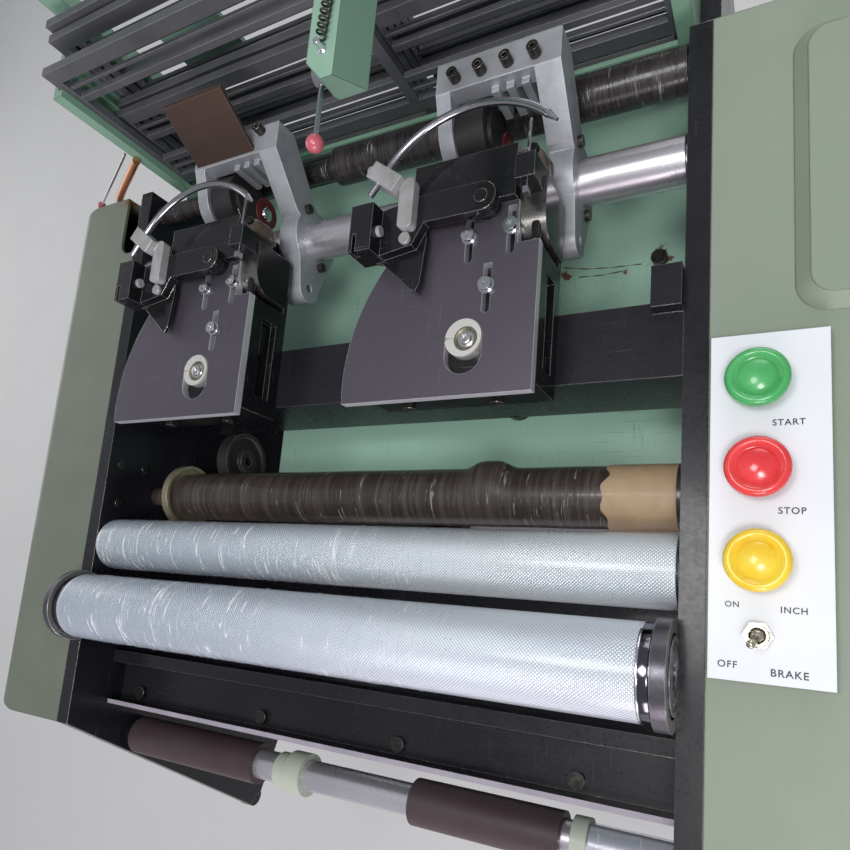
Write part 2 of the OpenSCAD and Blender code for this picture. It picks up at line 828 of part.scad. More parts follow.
// Slotted eccentric discs, seated in the ovals of the head plates.
module eccentric_discs() {
    z0 = head_h - head_t;
    color([0.8, 0.78, 0.72]) loom() for (h = [0, 1])
        translate([head_x - h * head_pitch + disc_x, disc_y, z0]) difference() {
            union() {
                cylinder(h = head_t + 1, r = disc_r);
                translate([0, 0, -6]) cylinder(h = 8, r = slot_r);
            }
            translate([2, -1, head_t - 1]) cylinder(h = 3, r = 9);
            block([-disc_r - 1, -1, head_t - 1], [-8, 1, head_t + 2]);
        }
}

// Cap screws of the head plates, with a washer under each.
module plate_screws() {
    z0 = head_h;
    color([0.75, 0.75, 0.72]) loom() for (h = [0, 1], p = slot_places)
        translate([head_x - h * head_pitch + p[0], p[1], z0]) difference() {
            union() {
                cylinder(h = 1, r = cap_r + 1);
                cylinder(h = 5, r = cap_r);
                translate([0, 0, -head_t - 6]) cylinder(h = head_t + 7, r = slot_r);
            }
            translate([0, 0, 2.5]) cylinder(h = 3, r = 2.3, $fn = 6);
        }
}

// Needle arm: hub on the pivot pin, lever over the riser, holder block and tongue.
module needle_arm() {
    z0 = riser_top + lift_gap;
    x1 = holder_x + holder_w;
    difference() {
        union() {
            translate([pivot_x, pivot_y, z0]) cylinder(h = 9, r = 11);
            translate([0, 0, z0]) linear_extrude(height = 9) polygon([
                [pivot_x, pivot_y + 11], [x1 + 35, 293], [x1 - 1, 287], [x1 - 1, 251],
                [x1 + 27, 255], [x1 + 36, 271], [pivot_x, pivot_y - 11]
            ]);
            block([holder_x, holder_y, holder_z], [x1, holder_y + holder_l, holder_top]);
            translate([0, 0, holder_z]) linear_extrude(height = 3) polygon([
                [x1 - 17, 253], [x1 - 1, holder_y - 2], [x1 + 25, 224], [x1 + 29, 222],
                [x1 + 32, 228], [x1 + 35, 262], [x1 + 33, 275], [x1 - 17, 275]
            ]);
        }
        translate([pivot_x, pivot_y, z0 - cut]) cylinder(h = 12, r = pin_r + run_fit);
        block([holder_x + 3, holder_y - cut, holder_top - 8], [holder_x + 6, holder_y + 14, holder_top + cut]);
    }
}

module needle_arm_left() {
    color([0.08, 0.08, 0.09]) loom() translate([head_x - head_pitch, 0, 0]) needle_arm();
}

module needle_arm_right() {
    color([0.08, 0.08, 0.09]) loom() translate([head_x, 0, 0]) needle_arm();
}

// Where the needle's straight tail starts: angle round the pivot and the tail's length.
tail_angle = 143;
tip_angle = 46;
tail_l = 24;
tail_r = needle_r - 0.1;
tail_start = [
    arc_x + needle_arc_r * cos(tail_angle),
    arc_y + needle_arc_r * sin(tail_angle),
    needle_z
];

// Clamp that holds the needle's tail: bar on the arm, bored cross block and three screws.
module needle_clamp() {
    z0 = riser_top + lift_gap + 9;
    x0 = holder_x + holder_w + 18;
    difference() {
        union() {
            translate([0, 0, z0]) linear_extrude(height = 8) round_rect(x0, 265, x0 + 12, 304, 4);
            translate(tail_start) rotate([0, 0, tail_angle + 90])
                translate([0.5, -12, z0 - needle_z]) cube([13, 29, 15]);
        }
        translate(tail_start) rotate([0, 0, tail_angle + 90]) rotate([0, 90, 0])
            cylinder(h = tail_l + 20, r = tail_r + run_fit);
    }
    bar_x(x0 - 18, x0 - 15, 268, 71, 4);
    translate([x0 + 4, 260, z0]) cylinder(h = 3, r = 4.5);
    translate(tail_start) rotate([0, 0, tail_angle + 90])
        translate([7, -12, z0 - needle_z + 8]) rotate([90, 0, 0]) cylinder(h = 6, r = 3.5);
}

module needle_clamp_left() {
    color([0.7, 0.72, 0.72]) loom() translate([head_x - head_pitch, 0, 0]) needle_clamp();
}

module needle_clamp_right() {
    color([0.7, 0.72, 0.72]) loom() translate([head_x, 0, 0]) needle_clamp();
}

// Curved weft needle: an arc, a straight tail and a tapered eye end.
module weft_needle() {
    union() {
        translate([arc_x, arc_y, needle_z]) rotate([0, 0, tip_angle])
            rotate_extrude(angle = tail_angle - tip_angle) translate([needle_arc_r, 0]) circle(needle_r);
        translate(tail_start) rotate([0, 0, tail_angle + 90]) rotate([0, 90, 0])
            translate([0, 0, -0.5]) cylinder(h = tail_l + 0.5, r = tail_r);
        translate([arc_x, arc_y, needle_z]) rotate([0, 0, tip_angle]) translate([needle_arc_r, 0.5, 0])
            rotate([90, 0, 0]) cylinder(h = 9.5, r1 = tail_r, r2 = 1);
    }
}

module weft_needle_left() {
    color([0.75, 0.75, 0.8]) loom() translate([head_x - head_pitch, 0, 0]) weft_needle();
}

module weft_needle_right() {
    color([0.75, 0.75, 0.8]) loom() translate([head_x, 0, 0]) weft_needle();
}

// Latch needle that knits the selvedge: stem with a butt and a hooked rear end.
module latch_needle() {
    hook_r = 2.4;
    y1 = 334;
    translate([lug_x + lug_w / 2, 0, latch_z]) union() {
        translate([0, lug_y - 6, 0]) rotate([-90, 0, 0]) cylinder(h = y1 - lug_y + 6, r = latch_r);
        block([-2, lug_y - 10, -3], [2, lug_y - 5, 3]);
        translate([0, y1, -hook_r]) rotate([0, 90, 0]) rotate([0, 0, 90])
            rotate_extrude(angle = 180) translate([hook_r, 0]) circle(latch_r * 0.7);
    }
}

module latch_needle_left() {
    color([0.8, 0.8, 0.82]) loom() translate([head_x - head_pitch, 0, 0]) latch_needle();
}

module latch_needle_right() {
    color([0.8, 0.8, 0.82]) loom() translate([head_x, 0, 0]) latch_needle();
}

// Slotted guide for the heald frames, on the left wall.
module heald_guide() {
    y_end = gantry_y;
    union() {
        block([-half_w, heald_y - 8, -bed_z], [-half_w + guide_wall, y_end, guide_top]);
        block([-half_w, heald_y - 8, -bed_z], [-half_w + guide_wall + guide_rib, heald_y - slot_gap, guide_top]);
        for (i = [1:heald_count - 1])
            block(
                [-half_w, heald_y + (i - 1) * heald_pitch + heald_t + slot_gap, -bed_z],
                [-half_w + guide_wall + guide_rib, heald_y + i * heald_pitch - slot_gap, guide_top]
            );
        block(
            [-half_w, heald_y + (heald_count - 1) * heald_pitch + heald_t + slot_gap, -bed_z],
            [-half_w + guide_wall + guide_rib, y_end, guide_top]
        );
        block([-half_w, y_end - cut, -bed_z], [-half_w + 22, y_end + gantry_d, gantry_top]);
    }
}

// Both guides, the crossbar over them and the slotted plate of the left upright.
module heald_guides() {
    color([0.52, 0.72, 0.6]) loom() union() {
        heald_guide();
        mirror([1, 0, 0]) heald_guide();
        block([-half_w + 20, gantry_y, gantry_top - 24], [half_w - 20, gantry_y + gantry_d, gantry_top]);
        block([-half_w, heald_y - 8, -strip_z], [half_w, heald_y - 3, -strip_z + 6]);
        front_view(gantry_y + 5, 5) difference() {
            union() {
                rect(-half_w + 20, 4, slot_plate_x1, 20);
                rect(slot_plate_x0, 4, slot_plate_x1, slot_plate_top);
            }
            for (s = [[25, 52, 4], [37, 44, 12], [58, 44, 10]])
                round_rect(slot_plate_x0 + s[0], s[1], slot_plate_x0 + s[0] + 5, s[1] + s[2] + 2, 2.4);
        }
    }
}

// Heald frame number i: top and bottom bars, heald rods, carrier bars, side bars and a middle bar.
module heald_frame(i) {
    y0 = heald_y + i * heald_pitch;
    z = heald_rest[i];
    zb = -heald_bottom;
    color([0.6, 0.62, 0.65]) loom() translate([0, 0, z]) union() {
        for (z0 = [zb, heald_top - bar_h])
            block([-frame_half, y0, z0], [frame_half, y0 + heald_t, z0 + bar_h]);
        for (z0 = [zb + bar_h + rod_gap, heald_top - bar_h - rod_gap - rod_h])
            block([-frame_half + 1, y0 + 2, z0], [frame_half - 1, y0 + heald_t - 2, z0 + rod_h]);
        for (z0 = [
            zb + bar_h + 2 * rod_gap + rod_h,
            heald_top - bar_h - 2 * rod_gap - rod_h - carrier_h
        ])
            block([-frame_half + 1, y0 + 1, z0], [frame_half - 1, y0 + heald_t - 1, z0 + carrier_h]);
        for (x = [-frame_half, mid_bar_x, frame_half - side_bar_w])
            block([x, y0, zb + 1], [x + side_bar_w, y0 + heald_t, heald_top - 1]);
    }
}

module heald_frame_1() heald_frame(0);
module heald_frame_2() heald_frame(1);
module heald_frame_3() heald_frame(2);
module heald_frame_4() heald_frame(3);
module heald_frame_5() heald_frame(4);
module heald_frame_6() heald_frame(5);

// Stop motion box with chamfered front corner, on the crossbar, and the pin of its lever.
module stop_box() {
    x1 = box_x + box_w;
    color([0.5, 0.7, 0.56]) loom() union() {
        intersection() {
            translate([0, 0, box_z]) linear_extrude(height = box_top - box_z) polygon([
                [box_x, box_y + 14], [box_x + 12, box_y], [x1, box_y], [x1, gantry_y], [box_x, gantry_y]
            ]);
            side_view(box_x - cut, box_w + 2 * cut) polygon([
                [box_y - 0.5, box_top + cut], [box_y + box_slope, box_z - cut],
                [gantry_y, box_z - cut], [gantry_y, box_top + cut]
            ]);
        }
        bar_x(lever_x - 2, box_x + cut, lever_y, lever_z, 3);
    }
}

// Trip lever: hub on the box's pin and a thin rod to the front.
module trip_lever() {
    color([0.8, 0.8, 0.8]) loom() difference() {
        union() {
            bar_x(lever_x, lever_x + 7, lever_y, lever_z, 7);
            translate([lever_x + 3.5, lever_y - 5, lever_z]) rotate([90, 0, 0])
                cylinder(h = lever_l - 5, r = 1.6);
        }
        bar_x(lever_x - cut, lever_x + 7 + cut, lever_y, lever_z, 3 + run_fit);
    }
}

// Red ball knob, screwed on the end of the trip lever.
module trip_knob() {
    color([0.75, 0.2, 0.25]) loom() translate([lever_x + 3.5, lever_y - lever_l - 1, lever_z])
        difference() {
            sphere(knob_r);
            rotate([-90, 0, 0]) translate([0, 0, 1]) cylinder(h = knob_r, r = 1.6 + run_fit);
        }
}

// Control panel: shallow box with holes for the button stems and the switch.
module control_panel() {
    color([0.93, 0.94, 0.95]) loom() difference() {
        block([panel_x, panel_y, 0], [panel_x + panel_w, panel_y + panel_l, panel_h]);
        for (i = [0:2]) translate([button_x, button_y - i * button_pitch, -cut])
            cylinder(h = panel_h + 2 * cut, r = stem_r + stem_gap);
        translate([button_x, toggle_y, -cut]) cylinder(h = panel_h + 2 * cut, r = bush_r + run_fit);
    }
}

// Mushroom push button number i, counted from the rear: rim, hollow ring, low dome and stem.
module push_button(i) {
    z0 = panel_h + button_travel + 2;
    r = button_r;
    loom() translate([button_x, button_y - i * button_pitch, 0]) rotate_extrude() polygon([
        [0, -12], [stem_r, -12], [stem_r, z0], [r - 2, z0], [r, z0 + 3], [r, z0 + 6],
        [r - 2, z0 + 9], [r - 4.5, z0 + 9], [r - 6.5, z0 + 7], [r - 9, z0 + 8],
        [r - 12, z0 + 9.6], [0, z0 + 10.5]
    ]);
}

module start_button() color([0.2, 0.6, 0.3]) push_button(0);
module stop_button() color([0.8, 0.15, 0.15]) push_button(1);
module inch_button() color([0.95, 0.75, 0.1]) push_button(2);

// Toggle switch: threaded bush with a hexagon nut above the panel and its body below.
module toggle_switch() {
    color([0.7, 0.68, 0.6]) loom() translate([button_x, toggle_y, 0]) difference() {
        union() {
            translate([0, 0, -sheet_t - 22]) translate([-8, -10, 0]) cube([16, 20, 22]);
            translate([0, 0, -sheet_t - cut]) cylinder(h = panel_h + 9 + sheet_t + cut, r = bush_r);
            translate([0, 0, panel_h]) cylinder(h = 3, r = 8.5, $fn = 6);
        }
        translate([0, 0, panel_h - 2]) cylinder(h = 14, r = bush_bore);
        translate([0, 0, ball_z]) rotate([0, 0, toggle_turn]) rotate([0, 90, 0]) translate([0, 0, -fulcrum_l - 0.1])
            cylinder(h = 2 * fulcrum_l + 0.2, r = fulcrum_r + run_fit);
    }
}

// Toggle lever: ball and cross pin in the bush and a tapered bat, tilted to the off side.
module toggle_lever() {
    color([0.8, 0.8, 0.78]) loom() translate([button_x, toggle_y, ball_z]) union() {
        sphere(ball_r);
        rotate([0, 0, toggle_turn]) rotate([0, 90, 0]) translate([0, 0, -fulcrum_l])
            cylinder(h = 2 * fulcrum_l, r = fulcrum_r);
        rotate([0, 0, toggle_turn]) rotate([toggle_tilt, 0, 0]) cylinder(h = 15, r1 = 1.7, r2 = 2.6);
        rotate([0, 0, toggle_turn]) rotate([toggle_tilt, 0, 0]) translate([0, 0, 15]) sphere(2.6);
    }
}

// Motor on its feet, across two tubes of the base frame.
module motor() {
    x0 = motor_x;
    x1 = motor_x + motor_l;
    floor_z = -plate_drop + 50;
    color([0.35, 0.45, 0.4]) loom() union() {
        bar_x(x0, x1, main_y, -motor_z, motor_r);
        bar_x(x0 - 14, x0 + cut, main_y, -motor_z, motor_r * 0.55);
        for (i = [0:11]) translate([0, main_y, -motor_z]) rotate([i * 30, 0, 0])
            block([x0 + 20, -1.5, motor_r - 2], [x1 - 20, 1.5, motor_r + 5]);
        for (x = [x0 + 15, x1 - 45])
            block([x, main_y - 65, floor_z], [x + 30, main_y + 65, floor_z + 28]);
    }
}

// Grooved pulley at the drive side, from x0, with shallow rims.
module pulley(y, z, r) {
    bar_x(pulley_x, pulley_x + pulley_w, y, z, r);
    for (x = [pulley_x - 3, pulley_x + pulley_w]) bar_x(x, x + 3, y, z, r + 3);
}

module motor_pulley() {
    color([0.4, 0.4, 0.42]) loom() union() {
        pulley(main_y, -motor_z, motor_pulley_r);
        bar_x(pulley_x, motor_x - 14 - belt_gap, main_y, -motor_z, 11);
    }
}

// Main shaft with its drive pulley and the two cams that drive the heads.
module main_shaft() {
    color([0.55, 0.56, 0.58]) loom() union() {
        bar_x(-half_w - journal_in, half_w + journal_in, main_y, -main_z, main_r);
        pulley(main_y, -main_z, pulley_r);
        for (x = [head_x + 60, head_x + 60 - head_pitch]) {
            bar_x(x, x + 14, main_y + 12, -main_z, 40);
            bar_x(x + 14, x + 30, main_y, -main_z, 24);
        }
    }
}

// Flat drive belt round both pulleys, drawn as two tangent lines and two arcs.
module belt_view(grow) {
    d = motor_z - main_z;
    a = asin((pulley_r - motor_pulley_r) / d);
    r1 = pulley_r + grow;
    r2 = motor_pulley_r + grow;
    translate([main_y, -main_z]) circle(r1);
    translate([main_y, -motor_z]) circle(r2);
    translate([main_y, 0]) polygon([
        [r1 * cos(a), -main_z - r1 * sin(a)], [-r1 * cos(a), -main_z - r1 * sin(a)],
        [-r2 * cos(a), -motor_z - r2 * sin(a)], [r2 * cos(a), -motor_z - r2 * sin(a)]
    ]);
}

module drive_belt() {
    color([0.12, 0.12, 0.12]) loom() side_view(pulley_x + 1, pulley_w - 2) difference() {
        belt_view(belt_gap + belt_t);
        belt_view(belt_gap);
    }
}

left_side_plate();
right_side_plate();
left_casing();
right_casing();
base_frame();
levelling_feet();
bed_plate();
cross_beam();
front_rail();
frame_bolts();
front_roller();
roller_end_arms();
takeup_roller();
cloth_roller();
roller_flange();
takeup_wheel();
delivery_shaft();
rubber_rollers();
shaft_collars();
rear_roller();
sley_shaft();
sley_bracket_left();
sley_bracket_right();
bracket_screws();
bracket_buffers();
reed_guard();
head_body_left();
head_body_right();
head_plate_left();
head_plate_right();
eccentric_discs();
plate_screws();
needle_arm_left();
needle_arm_right();
needle_clamp_left();
needle_clamp_right();
weft_needle_left();
weft_needle_right();
latch_needle_left();
latch_needle_right();
heald_guides();
heald_frame_1();
heald_frame_2();
heald_frame_3();
heald_frame_4();
heald_frame_5();
heald_frame_6();
stop_box();
trip_lever();
trip_knob();
control_panel();
start_button();
stop_button();
inch_button();
toggle_switch();
toggle_lever();
motor();
motor_pulley();
main_shaft();
drive_belt();
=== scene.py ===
"""Power loom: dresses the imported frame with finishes, wound bands, buttons, lettering and lights.

Lengths in the sub-assembly classes are loom millimetres: X from the loom's middle to the right,
Y from the roller line to the rear and Z from the casing deck upwards. `place` turns them into the
frame's metres.
"""
from __future__ import annotations

import json
import logging
import math
from dataclasses import dataclass
from enum import Enum
from typing import Sequence

import bmesh
import bpy
import numpy as np
from mathutils import Matrix, Vector

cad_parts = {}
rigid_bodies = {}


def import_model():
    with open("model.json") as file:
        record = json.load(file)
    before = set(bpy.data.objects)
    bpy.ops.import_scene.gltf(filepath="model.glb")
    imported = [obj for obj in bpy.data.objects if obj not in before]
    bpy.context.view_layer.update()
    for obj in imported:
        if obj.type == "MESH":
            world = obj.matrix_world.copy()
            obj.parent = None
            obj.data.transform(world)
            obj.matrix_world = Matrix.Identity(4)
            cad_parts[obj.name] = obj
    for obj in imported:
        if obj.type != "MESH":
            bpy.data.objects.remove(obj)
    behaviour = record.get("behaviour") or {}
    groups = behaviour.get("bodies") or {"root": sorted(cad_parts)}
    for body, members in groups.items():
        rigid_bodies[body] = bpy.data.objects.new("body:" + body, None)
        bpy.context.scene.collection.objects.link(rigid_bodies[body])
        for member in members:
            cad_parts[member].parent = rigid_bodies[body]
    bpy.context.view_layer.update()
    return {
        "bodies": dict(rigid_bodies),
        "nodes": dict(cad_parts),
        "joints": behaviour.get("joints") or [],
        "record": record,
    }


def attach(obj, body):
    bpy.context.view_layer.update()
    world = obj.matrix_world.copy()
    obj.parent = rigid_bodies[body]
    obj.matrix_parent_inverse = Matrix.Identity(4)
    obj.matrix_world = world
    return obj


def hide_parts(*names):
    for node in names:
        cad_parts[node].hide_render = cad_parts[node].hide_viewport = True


LOG = logging.getLogger("power_loom")

Colour = tuple[float, float, float]
Socket = bpy.types.NodeSocket

LOOM_ORIGIN_MM = np.array([-31.5, -168.0, 880.0])
TAU = 2.0 * math.pi
MM_PER_M = 1000.0
MERGE_M = 2e-6
WELD_M = 1e-5
BEVEL_STEPS = 2
BEVEL_DEG = 40.0


def place(points: np.ndarray | Sequence[float]) -> np.ndarray:
    """Turn loom millimetres into frame metres: (p + origin) / 1000.

    Args:
        points: One point or an array of points, last axis X, Y, Z.

    Returns:
        The same array in metres in the frame.
    """
    return (np.asarray(points, float) + LOOM_ORIGIN_MM) / MM_PER_M


# ----------------------------------------------------------------- meshes


def solid_from_grid(name: str, grid: np.ndarray, smooth_deg: float = 35.0) -> bpy.types.Object:
    """Make a mesh from rings of points: quad (i, j) joins rows i, i+1 and columns j, j+1.

    Args:
        name: Name of the piece.
        grid: Points of shape (rows, columns, 3) in loom millimetres. The last column joins the
            first.
        smooth_deg: Edges sharper than this angle stay sharp.

    Returns:
        The linked object, with a UV map of (column, row) shares.
    """
    rows, cols = grid.shape[:2]
    ii, jj = np.meshgrid(np.arange(rows - 1), np.arange(cols), indexing="ij")
    i2, j2 = ii + 1, (jj + 1) % cols
    quads = np.stack([ii * cols + jj, ii * cols + j2, i2 * cols + j2, i2 * cols + jj], -1).reshape(-1, 4)
    share_u = np.stack([ii, ii, ii + 1, ii + 1], -1).reshape(-1) / max(rows - 1, 1)
    share_v = np.stack([jj, jj + 1, jj + 1, jj], -1).reshape(-1) / cols
    mesh = bpy.data.meshes.new(name)
    mesh.from_pydata(place(grid.reshape(-1, 3)).tolist(), [], quads.tolist())
    layer = mesh.uv_layers.new(name="surface")
    layer.data.foreach_set("uv", np.stack([share_v, share_u], -1).astype(np.float32).ravel())
    return _closed_object(name, mesh, smooth_deg)


def _closed_object(name: str, mesh: bpy.types.Mesh, smooth_deg: float) -> bpy.types.Object:
    """Merge doubles, point the faces outwards, mark sharp edges and link the object.

    Args:
        name: Name of the piece.
        mesh: Its mesh, in metres.
        smooth_deg: Edges sharper than this angle stay sharp.

    Returns:
        The linked object.
    """
    bm = bmesh.new()
    bm.from_mesh(mesh)
    bmesh.ops.remove_doubles(bm, verts=bm.verts, dist=MERGE_M)
    bmesh.ops.recalc_face_normals(bm, faces=bm.faces)
    limit = math.radians(smooth_deg)
    for face in bm.faces:
        face.smooth = True
    for edge in bm.edges:
        if len(edge.link_faces) == 2 and edge.calc_face_angle(0.0) > limit:
            edge.smooth = False
    bm.to_mesh(mesh)
    bm.free()
    piece = bpy.data.objects.new(name, mesh)
    bpy.context.scene.collection.objects.link(piece)
    return piece


def turned(
    name: str,
    profile: Sequence[tuple[float, float]],
    centre: Sequence[float],
    axis: str = "x",
    sides: int = 96,
    smooth_deg: float = 35.0,
) -> bpy.types.Object:
    """Turn a profile round an axis: point = centre + along * axis + radius * (cos, sin).

    Args:
        name: Name of the piece.
        profile: (along, radius) pairs in millimetres. A closed section ends where it starts.
        centre: Point of the axis with along = 0.
        axis: "x", "y" or "z".
        sides: Faces round the axis.
        smooth_deg: Edges sharper than this angle stay sharp.

    Returns:
        The linked object.
    """
    line = np.asarray(profile, float)
    angle = np.arange(sides) * TAU / sides
    along = np.repeat(line[:, :1], sides, 1)
    one = line[:, 1:] * np.cos(angle)
    two = line[:, 1:] * np.sin(angle)
    order = {"x": (along, one, two), "y": (two, along, one), "z": (one, two, along)}[axis]
    return solid_from_grid(name, np.stack(order, -1) + np.asarray(centre, float), smooth_deg=smooth_deg)


def rounded(
    corners: Sequence[tuple[float, float]], radius: float, steps: int = 4
) -> list[tuple[float, float]]:
    """Round the inner corners of an open line: each corner becomes an arc-like curve.

    A corner c between a and b becomes the quadratic curve from c + r(a-c)/|a-c| to c + r(b-c)/|b-c|.

    Args:
        corners: The line's points.
        radius: How far the curve reaches from each corner.
        steps: Pieces of each curve.

    Returns:
        The rounded line.
    """
    pts = [np.asarray(c, float) for c in corners]
    line = [tuple(pts[0])]
    for before, corner, after in zip(pts, pts[1:], pts[2:]):
        to_a, to_b = before - corner, after - corner
        reach = min(radius, np.linalg.norm(to_a) * 0.49, np.linalg.norm(to_b) * 0.49)
        start = corner + to_a / np.linalg.norm(to_a) * reach
        end = corner + to_b / np.linalg.norm(to_b) * reach
        for t in np.linspace(0.0, 1.0, steps + 1):
            line.append(tuple((1 - t) ** 2 * start + 2 * t * (1 - t) * corner + t * t * end))
    line.append(tuple(pts[-1]))
    return line


def closed(corners: Sequence[tuple[float, float]], radius: float) -> list[tuple[float, float]]:
    """Round the corners of a section and bring it back to its start.

    Args:
        corners: The section's points.
        radius: How far each curve reaches from its corner.

    Returns:
        The closed line.
    """
    return rounded(corners, radius) + [corners[0]]


def polyline(points: np.ndarray, count: int) -> np.ndarray:
    """Step evenly along points, straight from each to the next.

    Args:
        points: Points of shape (n, 3).
        count: Number of steps.

    Returns:
        Points of shape (count, 3).
    """
    t = np.linspace(0, len(points) - 1, count)
    return np.stack([np.interp(t, np.arange(len(points)), points[:, k]) for k in range(3)], -1)


def unit_grid(rows: int, sides: int) -> tuple[np.ndarray, np.ndarray]:
    """Surface parameters: a column from 0 to 1 along and a row from 0 to under 1 round.

    Args:
        rows: Points along.
        sides: Points round.

    Returns:
        Arrays of shapes (rows, 1) and (1, sides).
    """
    return np.linspace(0.0, 1.0, rows)[:, None], (np.arange(sides) / sides)[None, :]


def around(
    along: np.ndarray, centre: tuple[float, float], radius: np.ndarray | float, share: np.ndarray
) -> np.ndarray:
    """Points round an axis along X: (along, y + radius cos a, z + radius sin a), a = 2 pi share.

    Args:
        along: X of each point.
        centre: Y and Z of the axis.
        radius: Distance from the axis.
        share: Share of a whole turn.

    Returns:
        Points of shape (..., 3).
    """
    y, z = centre
    angle = TAU * share
    parts = np.broadcast_arrays(along, y + radius * np.cos(angle), z + radius * np.sin(angle))
    return np.stack(parts, -1)


def swept(name: str, path: np.ndarray, radii: np.ndarray | float, sides: int) -> bpy.types.Object:
    """Carry a circle along a path, turned so that it doesn't twist, and close both ends.

    Args:
        name: Name of the piece.
        path: Points of shape (n, 3) in loom millimetres.
        radii: One radius or one for each point.
        sides: Faces round the tube.

    Returns:
        The linked object.
    """
    path = np.asarray(path, float)
    radius = np.pad(np.broadcast_to(np.asarray(radii, float), (len(path),)), 1)
    tangent = np.pad(np.gradient(path, axis=0), ((1, 1), (0, 0)), "edge")
    path = np.pad(path, ((1, 1), (0, 0)), "edge")
    tangent /= np.linalg.norm(tangent, axis=1, keepdims=True)
    normal = np.cross(tangent[0], [0.0, 0.0, 1.0])
    if np.linalg.norm(normal) < 1e-6:
        normal = np.array([1.0, 0.0, 0.0])
    frames = []
    for t in tangent:
        normal = normal - t * np.dot(normal, t)
        normal /= np.linalg.norm(normal)
        frames.append((normal, np.cross(t, normal)))
    frame = np.array(frames)
    angle = np.arange(sides) * TAU / sides
    ring = np.cos(angle)[None, :, None] * frame[:, None, 0] + np.sin(angle)[None, :, None] * frame[:, None, 1]
    return solid_from_grid(name, path[:, None] + ring * radius[:, None, None], smooth_deg=50.0)


def plate(
    name: str, outline: Sequence[tuple[float, float]], low: float, high: float, bevel: float, axis: str = "z"
) -> bpy.types.Object:
    """Raise an outline from one level to another along an axis, and bevel its edges.

    Args:
        name: Name of the piece.
        outline: Corners: (X, Y) for axis z, (Y, Z) for axis x, (X, Z) for axis y.
        low: Level of one face.
        high: Level of the other.
        bevel: Width of the bevel.
        axis: "x", "y" or "z".

    Returns:
        The linked object.
    """
    ring = np.asarray(outline, float)
    n = len(ring)
    flat = np.concatenate([np.c_[ring, np.full(n, low)], np.c_[ring, np.full(n, high)]])
    verts = flat[:, {"x": [2, 0, 1], "y": [0, 2, 1], "z": [0, 1, 2]}[axis]]
    k = np.arange(n)
    sides = np.stack([k, (k + 1) % n, (k + 1) % n + n, k + n], -1).tolist()
    mesh = bpy.data.meshes.new(name)
    mesh.from_pydata(place(verts).tolist(), [], sides + [k[::-1].tolist(), (k + n).tolist()])
    piece = _closed_object(name, mesh, 30.0)
    soften(piece, bevel)
    return piece


def strip(
    name: str, path: Sequence[tuple[float, float]], x0: float, x1: float, thick: float
) -> bpy.types.Object:
    """Bend a flat strip along a line seen from the side: the outer face is thick along the normal.

    Args:
        name: Name of the piece.
        path: (Y, Z) points of its inner face.
        x0: Left edge.
        x1: Right edge.
        thick: Thickness, to the left of the direction of travel.

    Returns:
        The linked object.
    """
    line = np.asarray(path, float)
    run = np.gradient(line, axis=0)
    run /= np.linalg.norm(run, axis=1, keepdims=True)
    outer = line + thick * np.stack([-run[:, 1], run[:, 0]], -1)
    corners = [(x0, line), (x0, outer), (x1, outer), (x1, line)]
    grid = np.stack([np.c_[np.full(len(line), x), yz] for x, yz in corners], 1)
    ends = [np.repeat(grid[k:k + 1].mean(1, keepdims=True), 4, 1) for k in (0, len(line) - 1)]
    return solid_from_grid(name, np.concatenate([ends[0], grid, ends[1]]), smooth_deg=40.0)


def soften(piece: bpy.types.Object, width: float) -> None:
    """Round the edges of a piece with a real bevel.

    Args:
        piece: The object.
        width: Bevel width in millimetres.
    """
    weld = piece.modifiers.new("weld", "WELD")
    weld.merge_threshold = WELD_M
    bevel = piece.modifiers.new("bevel", "BEVEL")
    bevel.width = width / MM_PER_M
    bevel.segments = BEVEL_STEPS
    bevel.limit_method = "ANGLE"
    bevel.angle_limit = math.radians(BEVEL_DEG)
    bevel.harden_normals = True
    bevel.use_clamp_overlap = True


def rectangle(
    x0: float, y0: float, x1: float, y1: float, radius: float = 0.0, steps: int = 5
) -> list[tuple[float, float]]:
    """Corners of a rectangle, each a quarter circle if it has a radius.

    Args:
        x0: Left.
        y0: Front.
        x1: Right.
        y1: Rear.
        radius: Corner radius.
        steps: Pieces of each quarter circle.

    Returns:
        The outline, anticlockwise.
    """
    if radius <= 0:
        return [(x0, y0), (x1, y0), (x1, y1), (x0, y1)]
    corners = ((x1 - radius, y0 + radius, -90), (x1 - radius, y1 - radius, 0),
               (x0 + radius, y1 - radius, 90), (x0 + radius, y0 + radius, 180))
    return [
        (
            cx + radius * math.cos(math.radians(a0 + 90 * k / steps)),
            cy + radius * math.sin(math.radians(a0 + 90 * k / steps))
        ) for cx,
        cy, a0 in corners for k in range(steps + 1)
    ]


def waves(
    u: np.ndarray, v: np.ndarray, seed: int, count: int, freq: tuple[float, float], lean: float
) -> np.ndarray:
    """Sum of sine waves of random direction, phase and length, about -1 to 1.

    value = sum sin(fu*u + fv*v + phase) / sqrt(count)

    Args:
        u: First surface parameter, 0 to 1.
        v: Second surface parameter, a whole turn from 0 to 1.
        seed: Seed of the random draw.
        count: Number of waves.
        freq: Lowest and highest waves per unit of u.
        lean: Whole waves round the turn, at most.

    Returns:
        The values, of u's shape.
    """
    rng = np.random.default_rng(seed)
    fu = rng.uniform(*freq, count) * rng.choice([-1, 1], count)
    fv = rng.integers(-int(lean), int(lean) + 1, count)
    phase = rng.uniform(0, TAU, count)
    total = np.zeros(np.broadcast(u, v).shape)
    for a, b, c in zip(fu, fv, phase):
        total += np.sin(TAU * (a * u + b * v) + c)
    return total / math.sqrt(count)


# ----------------------------------------------------------------- materials


